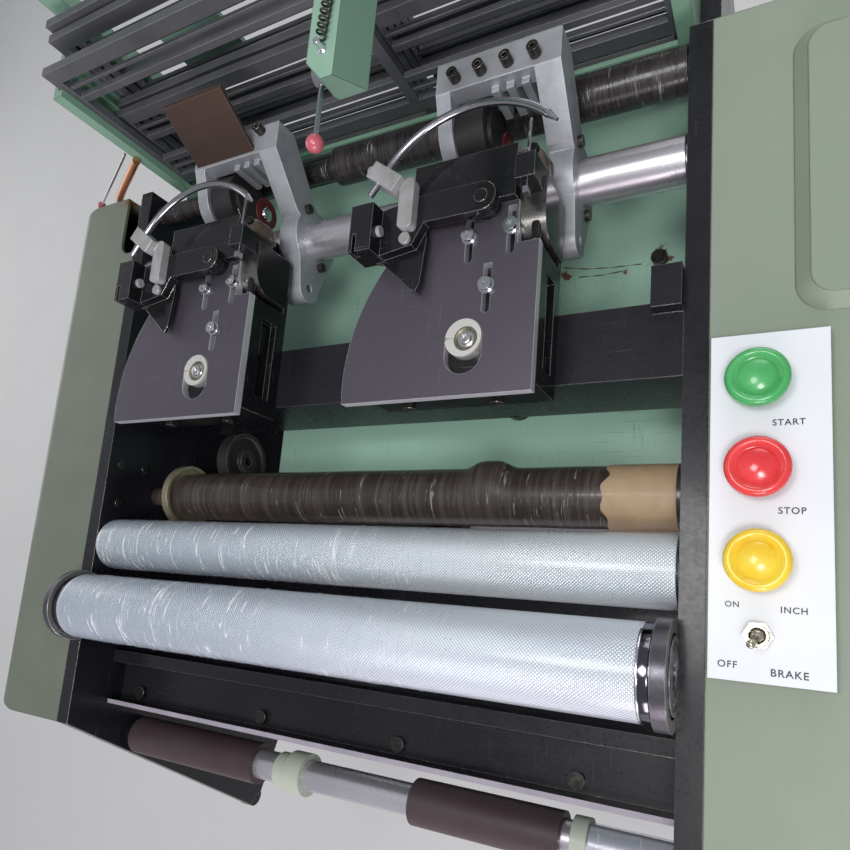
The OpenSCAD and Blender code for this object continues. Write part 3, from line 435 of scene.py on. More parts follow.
class Graph:
    """Adds nodes to one node tree, a line each."""

    def __init__(self, tree: bpy.types.NodeTree) -> None:
        """Keep the tree."""
        self.tree = tree

    def node(
        self, kind: str, inputs: dict[str | int, object] | None = None, **settings: object
    ) -> bpy.types.Node:
        """Add a node.

        Args:
            kind: Its type without "ShaderNode".
            inputs: Socket values or sockets to link, by name or number.
            **settings: Properties of the node.

        Returns:
            The node.
        """
        new = self.tree.nodes.new(kind if kind.startswith("Node") else "ShaderNode" + kind)
        for key, value in settings.items():
            setattr(new, key, value)
        for key, value in (inputs or {}).items():
            if isinstance(value, bpy.types.NodeSocket):
                self.tree.links.new(value, new.inputs[key])
            else:
                new.inputs[key].default_value = value
        return new

    def math(self, operation: str, a: object, b: object = 0.0, clamp: bool = False) -> Socket:
        """Value of a Math node on two numbers or sockets."""
        return self.node("Math", {0: a, 1: b}, operation=operation, use_clamp=clamp).outputs[0]

    def spread(
        self, value: Socket, low: object, high: object, out_low: float = 0.0, out_high: float = 1.0
    ) -> Socket:
        """Value mapped from low..high to out_low..out_high and clamped."""
        return self.node("MapRange", {0: value, 1: low, 2: high, 3: out_low, 4: out_high}).outputs[0]

    def mix(self, factor: object, a: object, b: object) -> Socket:
        """Colour mixed from a to b."""
        pad = [tuple(c) + (1.0,) if isinstance(c, tuple) and len(c) == 3 else c for c in (a, b)]
        return self.node("Mix", {0: factor, 6: pad[0], 7: pad[1]}, data_type="RGBA").outputs[2]

    def where(self) -> Socket:
        """Object coordinates."""
        return self.node("TexCoord").outputs["Object"]

    def effect(self, name: str, inputs: dict[str, object] | None = None) -> bpy.types.Node:
        """Group node of one of the Effects, with values or sockets for its inputs."""
        return self.node("Group", inputs, node_tree=Effects.get(name))

    def noise(self, vector: Socket, scale: object, detail: float = 3.0, rough: float = 0.55) -> Socket:
        """Value of a noise texture."""
        return self.node(
            "TexNoise", {"Vector": vector, "Scale": scale, "Detail": detail, "Roughness": rough}
        ).outputs[0]


def make_group(
    name: str, inputs: dict[str, float], outputs: dict[str, str]
) -> tuple[Graph, bpy.types.Node, bpy.types.Node]:
    """Start a shader node group with named sockets.

    Args:
        name: Name of the group.
        inputs: Float inputs and their defaults.
        outputs: Output names and socket types.

    Returns:
        The graph, its group input node and its group output node.
    """
    tree = bpy.data.node_groups.new(name, "ShaderNodeTree")
    for key, value in inputs.items():
        tree.interface.new_socket(
            name=key, in_out="INPUT", socket_type="NodeSocketFloat"
        ).default_value = value
    for key, kind in outputs.items():
        tree.interface.new_socket(name=key, in_out="OUTPUT", socket_type=kind)
    graph = Graph(tree)
    return graph, graph.node("NodeGroupInput"), graph.node("NodeGroupOutput")


class Effects:
    """Shader groups that more than one finish uses, built once."""

    @staticmethod
    def get(name: str) -> bpy.types.NodeTree:
        """The group of that name, built on first use."""
        return bpy.data.node_groups.get(name) or getattr(Effects, name)()

    @staticmethod
    def mottle() -> bpy.types.NodeTree:
        """Slow and fine variation from object coordinates: outputs Slow and Fine, 0 to 1."""
        g, a, b = make_group(
            "mottle", {"Slow scale": 6.0, "Fine scale": 400.0},
            {"Slow": "NodeSocketFloat", "Fine": "NodeSocketFloat"}
        )
        where = g.where()
        slow = g.noise(where, a.outputs["Slow scale"], 4.0, 0.6)
        fine = g.noise(where, a.outputs["Fine scale"], 2.0, 0.5)
        g.tree.links.new(g.spread(slow, 0.32, 0.68), b.inputs["Slow"])
        g.tree.links.new(fine, b.inputs["Fine"])
        return g.tree

    @staticmethod
    def worn_edge() -> bpy.types.NodeTree:
        """Mask of sharp edges: 1 - dot(rounded normal, true normal), broken up by noise."""
        g, a, b = make_group(
            "worn_edge", {"Radius": 0.001, "Reach": 0.2, "Breakup": 60.0},
            {"Mask": "NodeSocketFloat", "Normal": "NodeSocketVector"}
        )
        soft = g.node("Bevel", {"Radius": a.outputs["Radius"]}, samples=4)
        true = g.node("NewGeometry").outputs["Normal"]
        dot = g.node("VectorMath", {0: soft.outputs[0], 1: true}, operation="DOT_PRODUCT").outputs["Value"]
        bend = g.math("SUBTRACT", 1.0, dot)
        where = g.where()
        patchy = g.noise(where, a.outputs["Breakup"], 5.0, 0.7)
        limit = g.math("MULTIPLY", g.spread(patchy, 0.35, 0.65, 1.4, 0.15), a.outputs["Reach"])
        g.tree.links.new(g.spread(bend, g.math("MULTIPLY", limit, 0.5), limit), b.inputs["Mask"])
        g.tree.links.new(soft.outputs[0], b.inputs["Normal"])
        return g.tree

    @staticmethod
    def scratches() -> bpy.types.NodeTree:
        """Thin lines in two leaning directions: stretched noise over a high threshold."""
        g, a, b = make_group("scratches", {"Scale": 30.0, "Amount": 0.5}, {"Mask": "NodeSocketFloat"})
        where = g.where()
        masks = []
        for turn, stretch in ((0.6, (40.0, 1.2, 40.0)), (-0.9, (1.0, 50.0, 50.0))):
            lean = g.node(
                "Mapping", {"Vector": where, "Rotation": (0.15, 0.1, turn), "Scale": stretch}
            ).outputs[0]
            fine = g.noise(lean, a.outputs["Scale"], 1.0, 0.4)
            patch = g.noise(where, 14.0, 2.0, 0.5)
            line = g.spread(fine, 0.69, 0.74)
            masks.append(g.math("MULTIPLY", line, g.spread(patch, 0.5, 0.62)))
        both = g.math("MAXIMUM", masks[0], masks[1])
        g.tree.links.new(g.math("MULTIPLY", both, a.outputs["Amount"]), b.inputs["Mask"])
        return g.tree

    @staticmethod
    def dust() -> bpy.types.NodeTree:
        """Mask of dust lying on upward faces: normal Z times patchy noise."""
        g, a, b = make_group("dust", {"Amount": 0.3, "Scale": 9.0}, {"Mask": "NodeSocketFloat"})
        up = g.node("SeparateXYZ", {0: g.node("NewGeometry").outputs["Normal"]}).outputs[2]
        where = g.where()
        patch = g.spread(g.noise(where, a.outputs["Scale"], 6.0, 0.65), 0.38, 0.72)
        top = g.spread(up, 0.2, 0.95)
        mask = g.math("MULTIPLY", g.math("MULTIPLY", top, patch), a.outputs["Amount"])
        g.tree.links.new(mask, b.inputs["Mask"])
        return g.tree

    @staticmethod
    def roller_place() -> bpy.types.NodeTree:
        """Place on a roller along X: Turn = atan2(z - zc, y - yc) / 2 pi, Along = x."""
        g, a, b = make_group(
            "roller_place", {"Centre Y": 0.0, "Centre Z": 0.0},
            {"Turn": "NodeSocketFloat", "Along": "NodeSocketFloat"}
        )
        at = g.node("SeparateXYZ", {0: g.where()})
        y = g.math("SUBTRACT", at.outputs[1], a.outputs["Centre Y"])
        z = g.math("SUBTRACT", at.outputs[2], a.outputs["Centre Z"])
        g.tree.links.new(g.math("DIVIDE", g.math("ARCTAN2", z, y), TAU), b.inputs["Turn"])
        g.tree.links.new(at.outputs[0], b.inputs["Along"])
        return g.tree

    @staticmethod
    def creases() -> bpy.types.NodeTree:
        """Creases of film that run round a roller: ridged noise, 1 - |n - 0.5| / width, in patches."""
        g, a, b = make_group(
            "creases", {"Width": 0.016, "Cover": 0.5},
            {"Mask": "NodeSocketFloat", "Height": "NodeSocketFloat"}
        )
        where = g.where()
        lean = g.node(
            "Mapping", {"Vector": where, "Rotation": (0.0, 0.02, 0.03), "Scale": (190.0, 9.0, 9.0)}
        ).outputs[0]
        fine = g.noise(lean, 1.0, 2.0, 0.45)
        away = g.math("ABSOLUTE", g.math("SUBTRACT", fine, 0.5))
        ridge = g.spread(away, 0.0, a.outputs["Width"], 1.0, 0.0)
        patch = g.noise(
            g.node("Mapping", {"Vector": where, "Scale": (110.0, 45.0, 45.0)}).outputs[0], 1.0, 2.0, 0.6
        )
        shown = g.spread(patch, a.outputs["Cover"], g.math("ADD", a.outputs["Cover"], 0.05))
        g.tree.links.new(g.math("MULTIPLY", ridge, shown), b.inputs["Mask"])
        g.tree.links.new(ridge, b.inputs["Height"])
        return g.tree

    @staticmethod
    def diamonds() -> bpy.types.NodeTree:
        """Diamond knurl: |sin(pi (n t + x / p)) sin(pi (n t - x / p))|, turn t, along x, count n, pitch p."""
        g, a, b = make_group(
            "diamonds", {"Count": 77.0, "Pitch": 0.0025, "Turn": 0.0, "Along": 0.0},
            {"Height": "NodeSocketFloat"}
        )
        u = g.math("MULTIPLY", g.math("MULTIPLY", a.outputs["Turn"], math.pi), a.outputs["Count"])
        v = g.math("DIVIDE", g.math("MULTIPLY", a.outputs["Along"], math.pi), a.outputs["Pitch"])
        ridge = [g.math("ABSOLUTE", g.math("SINE", g.math(op, u, v))) for op in ("ADD", "SUBTRACT")]
        g.tree.links.new(g.math("MULTIPLY", ridge[0], ridge[1]), b.inputs["Height"])
        return g.tree


def fresh_material(label: str) -> tuple[bpy.types.Material, Graph, bpy.types.Node]:
    """Start a material.

    Args:
        label: Its name.

    Returns:
        The material, the graph of its nodes and its shader.
    """
    mat = bpy.data.materials.new(label)
    mat.use_nodes = True
    return mat, Graph(mat.node_tree), mat.node_tree.nodes["Principled BSDF"]


def dress(mat: bpy.types.Material, pieces: Sequence[bpy.types.Object]) -> None:
    """Put a material on pieces or CAD nodes, in place of what they have.

    Args:
        mat: The material.
        pieces: The objects.
    """
    for piece in pieces:
        piece.data.materials.clear()
        piece.data.materials.append(mat)


@dataclass(frozen=True)
class Finish:
    """A painted, cast, moulded or ground surface.

    Attributes:
        name: Name of the material.
        colour: Main colour.
        second: Colour of its slow patches.
        metallic: Share of metal.
        rough: Middle roughness.
        rough_spread: How far roughness strays with the fine grain.
        coat: Clear coat weight.
        grain: Scale of the fine grain, per metre.
        grain_depth: Depth of the fine grain in millimetres.
        patch_scale: Scale of the slow patches, per metre.
        edge: Radius of softened edges in millimetres.
        wear: Colour that shows where edges are worn.
        wear_reach: How much of the edge is worn, 0 for none.
        scratch: Strength of the scratches.
        dust: Strength of the dust.
        shine: Specular level.
        coat_rough: Roughness of the clear coat.
    """

    name: str
    colour: Colour
    second: Colour
    metallic: float = 0.0
    rough: float = 0.4
    rough_spread: float = 0.12
    coat: float = 0.0
    grain: float = 500.0
    grain_depth: float = 0.03
    patch_scale: float = 6.0
    edge: float = 0.8
    wear: Colour = (0.5, 0.5, 0.5)
    wear_reach: float = 0.0
    scratch: float = 0.0
    dust: float = 0.0
    shine: float = 0.5
    coat_rough: float = 0.08

    def colour_of(self, g: Graph, slow: Socket) -> Socket:
        """Base colour before wear: the two colours mixed by the slow patches."""
        return g.mix(slow, self.colour, self.second)

    def height_of(self, g: Graph, fine: Socket) -> tuple[Socket, float]:
        """Height that feeds the bump, and its depth in millimetres."""
        return fine, self.grain_depth

    def rough_of(self, g: Graph, fine: Socket, slow: Socket) -> Socket:
        """Roughness: the middle value, moved by both variations."""
        both = g.math("ADD", g.math("MULTIPLY", fine, 0.6), g.math("MULTIPLY", slow, 0.4))
        return g.spread(both, 0.2, 0.8, self.rough - self.rough_spread, self.rough + self.rough_spread)

    def material(self) -> bpy.types.Material:
        """Build the material, or return it if it is there.

        Returns:
            The material.
        """
        label = "loom_" + self.name
        done = bpy.data.materials.get(label)
        if done:
            return done
        mat, g, shader = fresh_material(label)
        base = g.effect("mottle", {"Slow scale": self.patch_scale, "Fine scale": self.grain})
        slow, fine = base.outputs["Slow"], base.outputs["Fine"]
        colour = self.colour_of(g, slow)
        rough = self.rough_of(g, fine, slow)
        height, depth = self.height_of(g, fine)
        normal: Socket | None = None
        metal: Socket | float = self.metallic
        if self.scratch:
            mask = g.effect("scratches", {"Amount": self.scratch})
            colour = g.mix(mask.outputs[0], colour, self.wear)
            rough = g.math("ADD", rough, g.math("MULTIPLY", mask.outputs[0], 0.15))
        if self.edge:
            reach = self.wear_reach or 1.0
            worn = g.effect("worn_edge", {"Radius": self.edge / MM_PER_M, "Reach": reach})
            normal = worn.outputs["Normal"]
            if self.wear_reach:
                colour = g.mix(worn.outputs["Mask"], colour, self.wear)
                if self.metallic < 0.5:
                    metal = g.math("MULTIPLY", worn.outputs["Mask"], 0.8)
        if self.dust:
            film = g.effect("dust", {"Amount": self.dust})
            colour = g.mix(film.outputs[0], colour, (0.42, 0.4, 0.36))
            rough = g.math("ADD", rough, g.math("MULTIPLY", film.outputs[0], 0.4), clamp=True)
        bump_in = {"Height": height, "Distance": depth / MM_PER_M, "Strength": 1.0}
        if normal is not None:
            bump_in["Normal"] = normal
        bump = g.node("Bump", bump_in)
        g.tree.links.new(colour, shader.inputs["Base Color"])
        g.tree.links.new(rough, shader.inputs["Roughness"])
        g.tree.links.new(bump.outputs[0], shader.inputs["Normal"])
        if isinstance(metal, bpy.types.NodeSocket):
            g.tree.links.new(metal, shader.inputs["Metallic"])
        else:
            shader.inputs["Metallic"].default_value = metal
        shader.inputs["Coat Weight"].default_value = self.coat
        shader.inputs["Coat Roughness"].default_value = self.coat_rough
        shader.inputs["Specular IOR Level"].default_value = self.shine
        return mat

    def on(self, *pieces: bpy.types.Object) -> None:
        """Put the finish on pieces or CAD nodes."""
        dress(self.material(), pieces)


@dataclass(frozen=True)
class Knurled(Finish):
    """Bright roller surface with a diamond knurl cut round its axis."""

    centre: tuple[float, float] = (0.0, 0.0)
    count: int = 77
    pitch: float = 2.5
    depth: float = 0.35
    # Painted shade: colour of the knurl's valleys, darker than the bright metal.
    valley_shade: Colour = (0.42, 0.45, 0.5)

    def _cut(self, g: Graph) -> Socket:
        """Height of the knurl."""
        y, z = place((0.0, *self.centre))[1:]
        spot = g.effect("roller_place", {"Centre Y": float(y), "Centre Z": float(z)}).outputs
        cut = g.effect(
            "diamonds",
            {
                "Turn": spot["Turn"], "Along": spot["Along"], "Count": float(self.count),
                "Pitch": self.pitch / MM_PER_M
            }
        )
        return cut.outputs[0]

    def height_of(self, g: Graph, fine: Socket) -> tuple[Socket, float]:
        """The knurl's height and its depth."""
        return self._cut(g), self.depth

    def colour_of(self, g: Graph, slow: Socket) -> Socket:
        """Bright metal, with painted shade darkening the knurl's valleys."""
        return g.mix(
            g.spread(self._cut(g), 0.04, 0.5, 1.0, 0.0), g.mix(slow, self.colour, self.second), self.valley_shade
        )


@dataclass(frozen=True)
class WoundFilm(Finish):
    """Band wound on a roller under clear film: faint turns, and short creases painted lighter as glints
    (painted highlight).
    """

    streak: Colour = (0.3, 0.24, 0.2)
    turns: float = 260.0
    crease: float = 0.55

    def _streaks(self, g: Graph) -> Socket:
        """Turns of the band: noise stretched round the roller on object coordinates."""
        where = g.where()
        lean = g.node(
            "Mapping", {"Vector": where, "Rotation": (0.0, 0.03, 0.0), "Scale": (self.turns, 6.0, 6.0)}
        ).outputs[0]
        return g.noise(lean, 1.0, 4.0, 0.65)

    def _creases(self, g: Graph) -> bpy.types.Node:
        """The film's crease group."""
        return g.effect("creases", {"Cover": self.crease})

    def colour_of(self, g: Graph, slow: Socket) -> Socket:
        """Main colour with faint turns, and a painted highlight where the film is creased."""
        band = g.mix(
            g.spread(self._streaks(g), 0.45, 0.8), g.mix(slow, self.colour, self.second), self.streak
        )
        # Painted highlight: the creases are mixed towards a light grey-brown as glints.
        return g.mix(g.math("MULTIPLY", self._creases(g).outputs["Mask"], 0.6), band, (0.5, 0.48, 0.46))

    def height_of(self, g: Graph, fine: Socket) -> tuple[Socket, float]:
        """The turns' and creases' height."""
        return g.math("ADD", self._streaks(g), self._creases(g).outputs["Height"]), self.grain_depth

    def rough_of(self, g: Graph, fine: Socket, slow: Socket) -> Socket:
        """Film gloss broken up by the turns."""
        return g.spread(
            self._streaks(g), 0.35, 0.7, self.rough - self.rough_spread, self.rough + self.rough_spread
        )


@dataclass(frozen=True)
class Brushed(Finish):
    """Ground or drawn metal: fine lines along one direction."""

    lines: tuple[float, float, float] = (3.0, 900.0, 900.0)

    def height_of(self, g: Graph, fine: Socket) -> tuple[Socket, float]:
        """Fine lines from stretched noise."""
        where = g.where()
        drawn = g.node("Mapping", {"Vector": where, "Scale": self.lines}).outputs[0]
        return g.noise(drawn, 1.0, 3.0, 0.6), self.grain_depth


@dataclass(frozen=True)
class TwoTone(Finish):
    """Part whose faces across one axis differ from the rest, split by the way a face points. On the white
    panel the side colour is painted shade; on the head plates it is a painted highlight.
    """

    # Default dark brown side colour: painted shade on the white panel's side faces.
    side: Colour = (0.09, 0.05, 0.035)
    axis: int = 2

    def colour_of(self, g: Graph, slow: Socket) -> Socket:
        """Main colours where a face points along the axis, the side colour elsewhere."""
        along = g.node("SeparateXYZ", {0: g.node("NewGeometry").outputs["Normal"]}).outputs[self.axis]
        face = g.math("GREATER_THAN", g.math("ABSOLUTE", along) if self.axis < 2 else along, 0.6)
        return g.mix(face, self.side, g.mix(slow, self.colour, self.second))


@dataclass(frozen=True)
class Rusty(Finish):
    """Paint that has rusted round some places."""

    spots: tuple[tuple[float, float, float, float], ...] = ()
    rust: Colour = (0.15, 0.06, 0.025)

    def colour_of(self, g: Graph, slow: Socket) -> Socket:
        """Paint, and rust where distance to a spot plus noise stays under the spot's reach."""
        where = g.where()
        ragged = g.noise(where, 70.0, 5.0, 0.75)
        colour = g.mix(slow, self.colour, self.second)
        for x, y, z, reach in self.spots:
            away = g.node(
                "VectorMath", {0: where, 1: tuple(float(c) for c in place((x, y, z)))}, operation="DISTANCE"
            ).outputs["Value"]
            edge = g.math("MULTIPLY", g.spread(ragged, 0.38, 0.62), reach / MM_PER_M)
            near = g.spread(g.math("SUBTRACT", edge, away), 0.0, reach / (5.0 * MM_PER_M))
            colour = g.mix(near, colour, self.rust)
        return colour


@dataclass(frozen=True)
class ClearFilm:
    """Thin clear film: mostly see-through, glossy, with painted white highlights along its short creases."""

    name: str = "clear_film"
    alpha: float = 0.24
    tint: Colour = (0.46, 0.52, 0.6)
    crease: float = 0.46
    crease_alpha: float = 0.8
    rough: float = 0.1
    fade: tuple[float, float] = (-0.2, 0.13)

    def material(self) -> bpy.types.Material:
        """Build the film's material.

        Returns:
            The material.
        """
        label = "loom_" + self.name
        done = bpy.data.materials.get(label)
        if done:
            return done
        mat, g, shader = fresh_material(label)
        lines = g.effect("creases", {"Cover": self.crease})
        mask, height = lines.outputs["Mask"], lines.outputs["Height"]
        # Painted highlight: the base colour turns near-white along the creases, as glints.
        g.tree.links.new(
            g.mix(g.spread(mask, 0.0, 0.2), self.tint, (0.97, 0.98, 1.0)), shader.inputs["Base Color"]
        )
        along = g.node("SeparateXYZ", {0: g.where()}).outputs[0]
        left = g.spread(along, *self.fade, 1.0, 0.0)
        body = g.math("MULTIPLY", left, self.alpha)
        lined = g.math("MULTIPLY", g.math("MULTIPLY", mask, g.spread(left, 0.0, 0.4)), self.crease_alpha)
        g.tree.links.new(g.math("MAXIMUM", body, lined), shader.inputs["Alpha"])
        g.tree.links.new(
            g.spread(height, 0.3, 0.7, self.rough * 0.6, self.rough * 1.6), shader.inputs["Roughness"]
        )
        bump = g.node("Bump", {"Height": height, "Distance": 0.00012, "Strength": 1.0})
        g.tree.links.new(bump.outputs[0], shader.inputs["Normal"])
        return mat

    def on(self, *pieces: bpy.types.Object) -> None:
        """Put the film on pieces."""
        dress(self.material(), pieces)


class Finishes(Enum):
    """Every finish of the loom."""

    SAGE = Finish(
        "sage_paint", (0.275, 0.325, 0.255), (0.245, 0.295, 0.225), rough=0.48, rough_spread=0.06, coat=0.02,
        grain=260.0, grain_depth=0.05, patch_scale=4.0, edge=1.5, wear=(0.12, 0.12, 0.1), wear_reach=0.05,
        scratch=0.1, dust=0.08, shine=0.25
    )
    # Shaded copy of the sage paint: the left casing and its covers are painted darker, as painted shade. Its
    # rust spots are real.
    SAGE_SHADED_LEFT = Rusty(
        "sage_paint_shaded_left", (0.16, 0.187, 0.14), (0.128, 0.15, 0.112), rough=0.36, rough_spread=0.06,
        coat=0.12, grain=260.0, grain_depth=0.05, patch_scale=4.0, edge=1.5, wear=(0.1, 0.1, 0.08),
        wear_reach=0.06, scratch=0.15, dust=0.1, shine=0.4,
        spots=((-300.0, -146.0, -30.0, 26.0), (-320.0, 427.0, -4.0, 22.0))
    )
    # Bed paint, set lighter than the mint paint's own colour as painted light on the bed. Its rust spots are
    # real.
    MINT = Rusty(
        "mint_paint", (0.43, 0.7, 0.56), (0.37, 0.62, 0.49), rough=0.36, coat=0.15, grain=300.0,
        grain_depth=0.03, edge=1.0, wear=(0.13, 0.11, 0.07), wear_reach=0.12, scratch=0.5, dust=0.1,
        spots=((155.0, 322.0, -140.0, 9.0), (212.0, 318.0, -140.0, 7.0), (242.0, 327.0, -140.0, 15.0))
    )
    # Shaded copy of the mint paint: painted darker, as shade, for the stop box and heald guides.
    MINT_SHADED = Finish(
        "mint_paint_shaded", (0.22, 0.39, 0.285), (0.18, 0.33, 0.235), rough=0.42, coat=0.1, grain=300.0,
        grain_depth=0.03, edge=1.0, wear=(0.06, 0.07, 0.06), wear_reach=0.14, scratch=0.4, dust=0.2
    )
    BLACK = Finish(
        "black_paint", (0.008, 0.008, 0.011), (0.012, 0.012, 0.017), rough=0.26, rough_spread=0.12, coat=0.1,
        grain=340.0, grain_depth=0.04, edge=1.0, wear=(0.24, 0.22, 0.2), wear_reach=0.1, scratch=0.16,
        dust=0.02, shine=0.3
    )
    BEAM = Rusty(
        "beam_paint", (0.008, 0.008, 0.011), (0.012, 0.012, 0.017), rough=0.27, rough_spread=0.12, coat=0.1,
        grain=340.0, grain_depth=0.05, edge=1.0, wear=(0.24, 0.22, 0.2), wear_reach=0.1, scratch=0.2,
        dust=0.02, shine=0.26,
        spots=((262.0, 190.0, -62.0, 20.0), (276.0, 168.0, -66.0, 18.0), (20.0, 162.0, -67.0, 7.0))
    )
    BLACK_GLOSS = Finish(
        "black_gloss", (0.005, 0.005, 0.006), (0.01, 0.009, 0.012), rough=0.2, rough_spread=0.1, coat=0.12,
        grain=420.0, grain_depth=0.03, edge=0.7, wear=(0.5, 0.48, 0.46), wear_reach=0.12, scratch=0.15,
        dust=0.02, shine=0.36
    )
    CAST = Finish(
        "cast_light", (0.52, 0.54, 0.575), (0.34, 0.35, 0.375), metallic=0.5, rough=0.44, grain=150.0,
        grain_depth=0.22, patch_scale=26.0, edge=1.2, wear=(0.85, 0.87, 0.9), wear_reach=0.2, dust=0.1
    )
    CLAMP = Finish(
        "clamp_casting", (0.36, 0.36, 0.37), (0.25, 0.245, 0.24), metallic=0.4, rough=0.42, grain=150.0,
        grain_depth=0.2, patch_scale=70.0, edge=0.9, wear=(0.75, 0.75, 0.76), wear_reach=0.2, dust=0.05
    )
    GREASED = Finish(
        "greased_casting", (0.05, 0.037, 0.026), (0.12, 0.095, 0.07), metallic=0.3, rough=0.34, grain=120.0,
        grain_depth=0.5, patch_scale=90.0, edge=0.6, wear=(0.4, 0.36, 0.3), wear_reach=0.3, coat=0.3
    )
    IRON = Finish(
        "dark_iron", (0.05, 0.05, 0.052), (0.085, 0.078, 0.072), metallic=0.5, rough=0.45, grain=200.0,
        grain_depth=0.12, edge=0.8, wear=(0.4, 0.4, 0.4), wear_reach=0.15, dust=0.12
    )
    ARM = TwoTone(
        "grey_bearing", (0.3, 0.31, 0.3), (0.22, 0.225, 0.21), metallic=0.6, rough=0.3,
        side=(0.1, 0.092, 0.108), axis=0, grain=300.0, grain_depth=0.05, edge=0.8, wear=(0.75, 0.75, 0.78),
        wear_reach=0.25
    )
    OILED = Finish(
        "oiled_screws", (0.028, 0.027, 0.028), (0.07, 0.06, 0.052), metallic=0.7, rough=0.3, grain=900.0,
        patch_scale=160.0, edge=0.6, wear=(0.8, 0.78, 0.74), wear_reach=0.4
    )
    SHAFT = Brushed("ground_shaft", (0.74, 0.72, 0.77), (0.56, 0.54, 0.57), metallic=0.8, rough=0.28,
                    rough_spread=0.04, grain_depth=0.003, edge=0.5, patch_scale=8.0)
    # Near-white side colour: painted highlight on the plates' side faces. The near-white worn edges are
    # partly wear and partly painted highlight.
    PLATE = TwoTone("ground_plate", (0.13, 0.112, 0.14), (0.108, 0.096, 0.12), metallic=0.65, rough=0.36,
                    rough_spread=0.05, grain=700.0, grain_depth=0.006, edge=0.5, patch_scale=16.0,
                    wear=(0.95, 0.95, 0.97), wear_reach=0.05, scratch=0.1, side=(0.82, 0.82, 0.86))
    NEEDLE = Brushed("needle_steel", (0.5, 0.5, 0.53), (0.36, 0.35, 0.38), metallic=1.0, rough=0.2,
                     rough_spread=0.08, grain_depth=0.004, edge=0.2)
    BRIGHT = Finish("bright_steel", (0.74, 0.74, 0.77), (0.62, 0.61, 0.64), metallic=1.0, rough=0.2,
                    rough_spread=0.06, grain=900.0, grain_depth=0.01, edge=0.3)
    NOSE = Finish(
        "bare_nose", (0.3, 0.29, 0.27), (0.2, 0.19, 0.18), metallic=0.95, rough=0.27, rough_spread=0.08,
        grain=420.0, grain_depth=0.03, patch_scale=40.0, edge=0.3
    )
    # Painted highlight: lilac reflection along the front rail's lip.
    LIP_HIGHLIGHT = Finish("lilac_lip_highlight", (0.4, 0.36, 0.42), (0.3, 0.27, 0.32), metallic=0.35, rough=0.3, grain=500.0,
                 grain_depth=0.03, patch_scale=30.0, edge=0.3, wear=(0.1, 0.09, 0.1), wear_reach=0.2)
    SLAT = Brushed(
        "dull_aluminium", (0.1, 0.102, 0.112), (0.06, 0.062, 0.07), metallic=0.4, rough=0.5, rough_spread=0.1,
        grain_depth=0.02, edge=0.7, patch_scale=14.0, wear=(0.5, 0.51, 0.54), wear_reach=0.14, dust=0.1
    )
    KNURL_FRONT = Knurled(
        "knurled_chrome_front", (0.86, 0.92, 0.98), (0.78, 0.84, 0.94), metallic=0.5, rough=0.32,
        rough_spread=0.06, edge=0.0, patch_scale=10.0, coat=0.9, coat_rough=0.2, centre=(-31.0, 12.0),
        count=77
    )
    KNURL_TAKEUP = Knurled(
        "knurled_chrome_takeup", (0.93, 0.99, 1.0), (0.86, 0.93, 0.98), metallic=0.4, rough=0.3,
        rough_spread=0.06, edge=0.0, patch_scale=10.0, coat=0.9, coat_rough=0.2, centre=(33.6, -24.0),
        count=64
    )
    CHROME = Finish(
        "dark_chrome", (0.16, 0.15, 0.175), (0.1, 0.1, 0.115), metallic=1.0, rough=0.12, rough_spread=0.05,
        grain=700.0, grain_depth=0.006, edge=0.6, wear=(0.85, 0.85, 0.88), wear_reach=0.2
    )
    SILVER = Finish(
        "cream_silver", (0.62, 0.59, 0.5), (0.5, 0.47, 0.4), metallic=0.9, rough=0.24, grain=700.0,
        grain_depth=0.01, edge=0.4, wear=(0.95, 0.93, 0.86), wear_reach=0.3
    )
    WOUND = WoundFilm(
        "wound_brown", (0.05, 0.039, 0.033), (0.036, 0.029, 0.026), rough=0.34, rough_spread=0.06, coat=0.25,
        grain_depth=0.08, edge=0.0, streak=(0.12, 0.1, 0.085), shine=0.4, crease=0.56
    )
    WOUND_DARK = WoundFilm(
        "wound_dark", (0.03, 0.024, 0.024), (0.018, 0.016, 0.018), rough=0.32, rough_spread=0.12, coat=0.2,
        grain_depth=0.1, edge=0.0, streak=(0.055, 0.048, 0.045), turns=300.0, shine=0.4, crease=0.56
    )
    PAPER = Finish(
        "tan_paper", (0.52, 0.37, 0.225), (0.43, 0.3, 0.18), rough=0.55, grain=160.0, grain_depth=0.15,
        patch_scale=30.0, edge=0.0, coat=0.12
    )
    BRASS = Finish("cream_brass", (0.5, 0.44, 0.3), (0.4, 0.35, 0.24), metallic=0.6, rough=0.34, edge=0.6,
                   patch_scale=50.0, wear=(0.92, 0.88, 0.76), wear_reach=0.35)
    DISC = Finish("bright_disc", (0.78, 0.77, 0.72), (0.66, 0.65, 0.6), metallic=0.6, rough=0.36, grain=700.0,
                  grain_depth=0.004, edge=0.0)
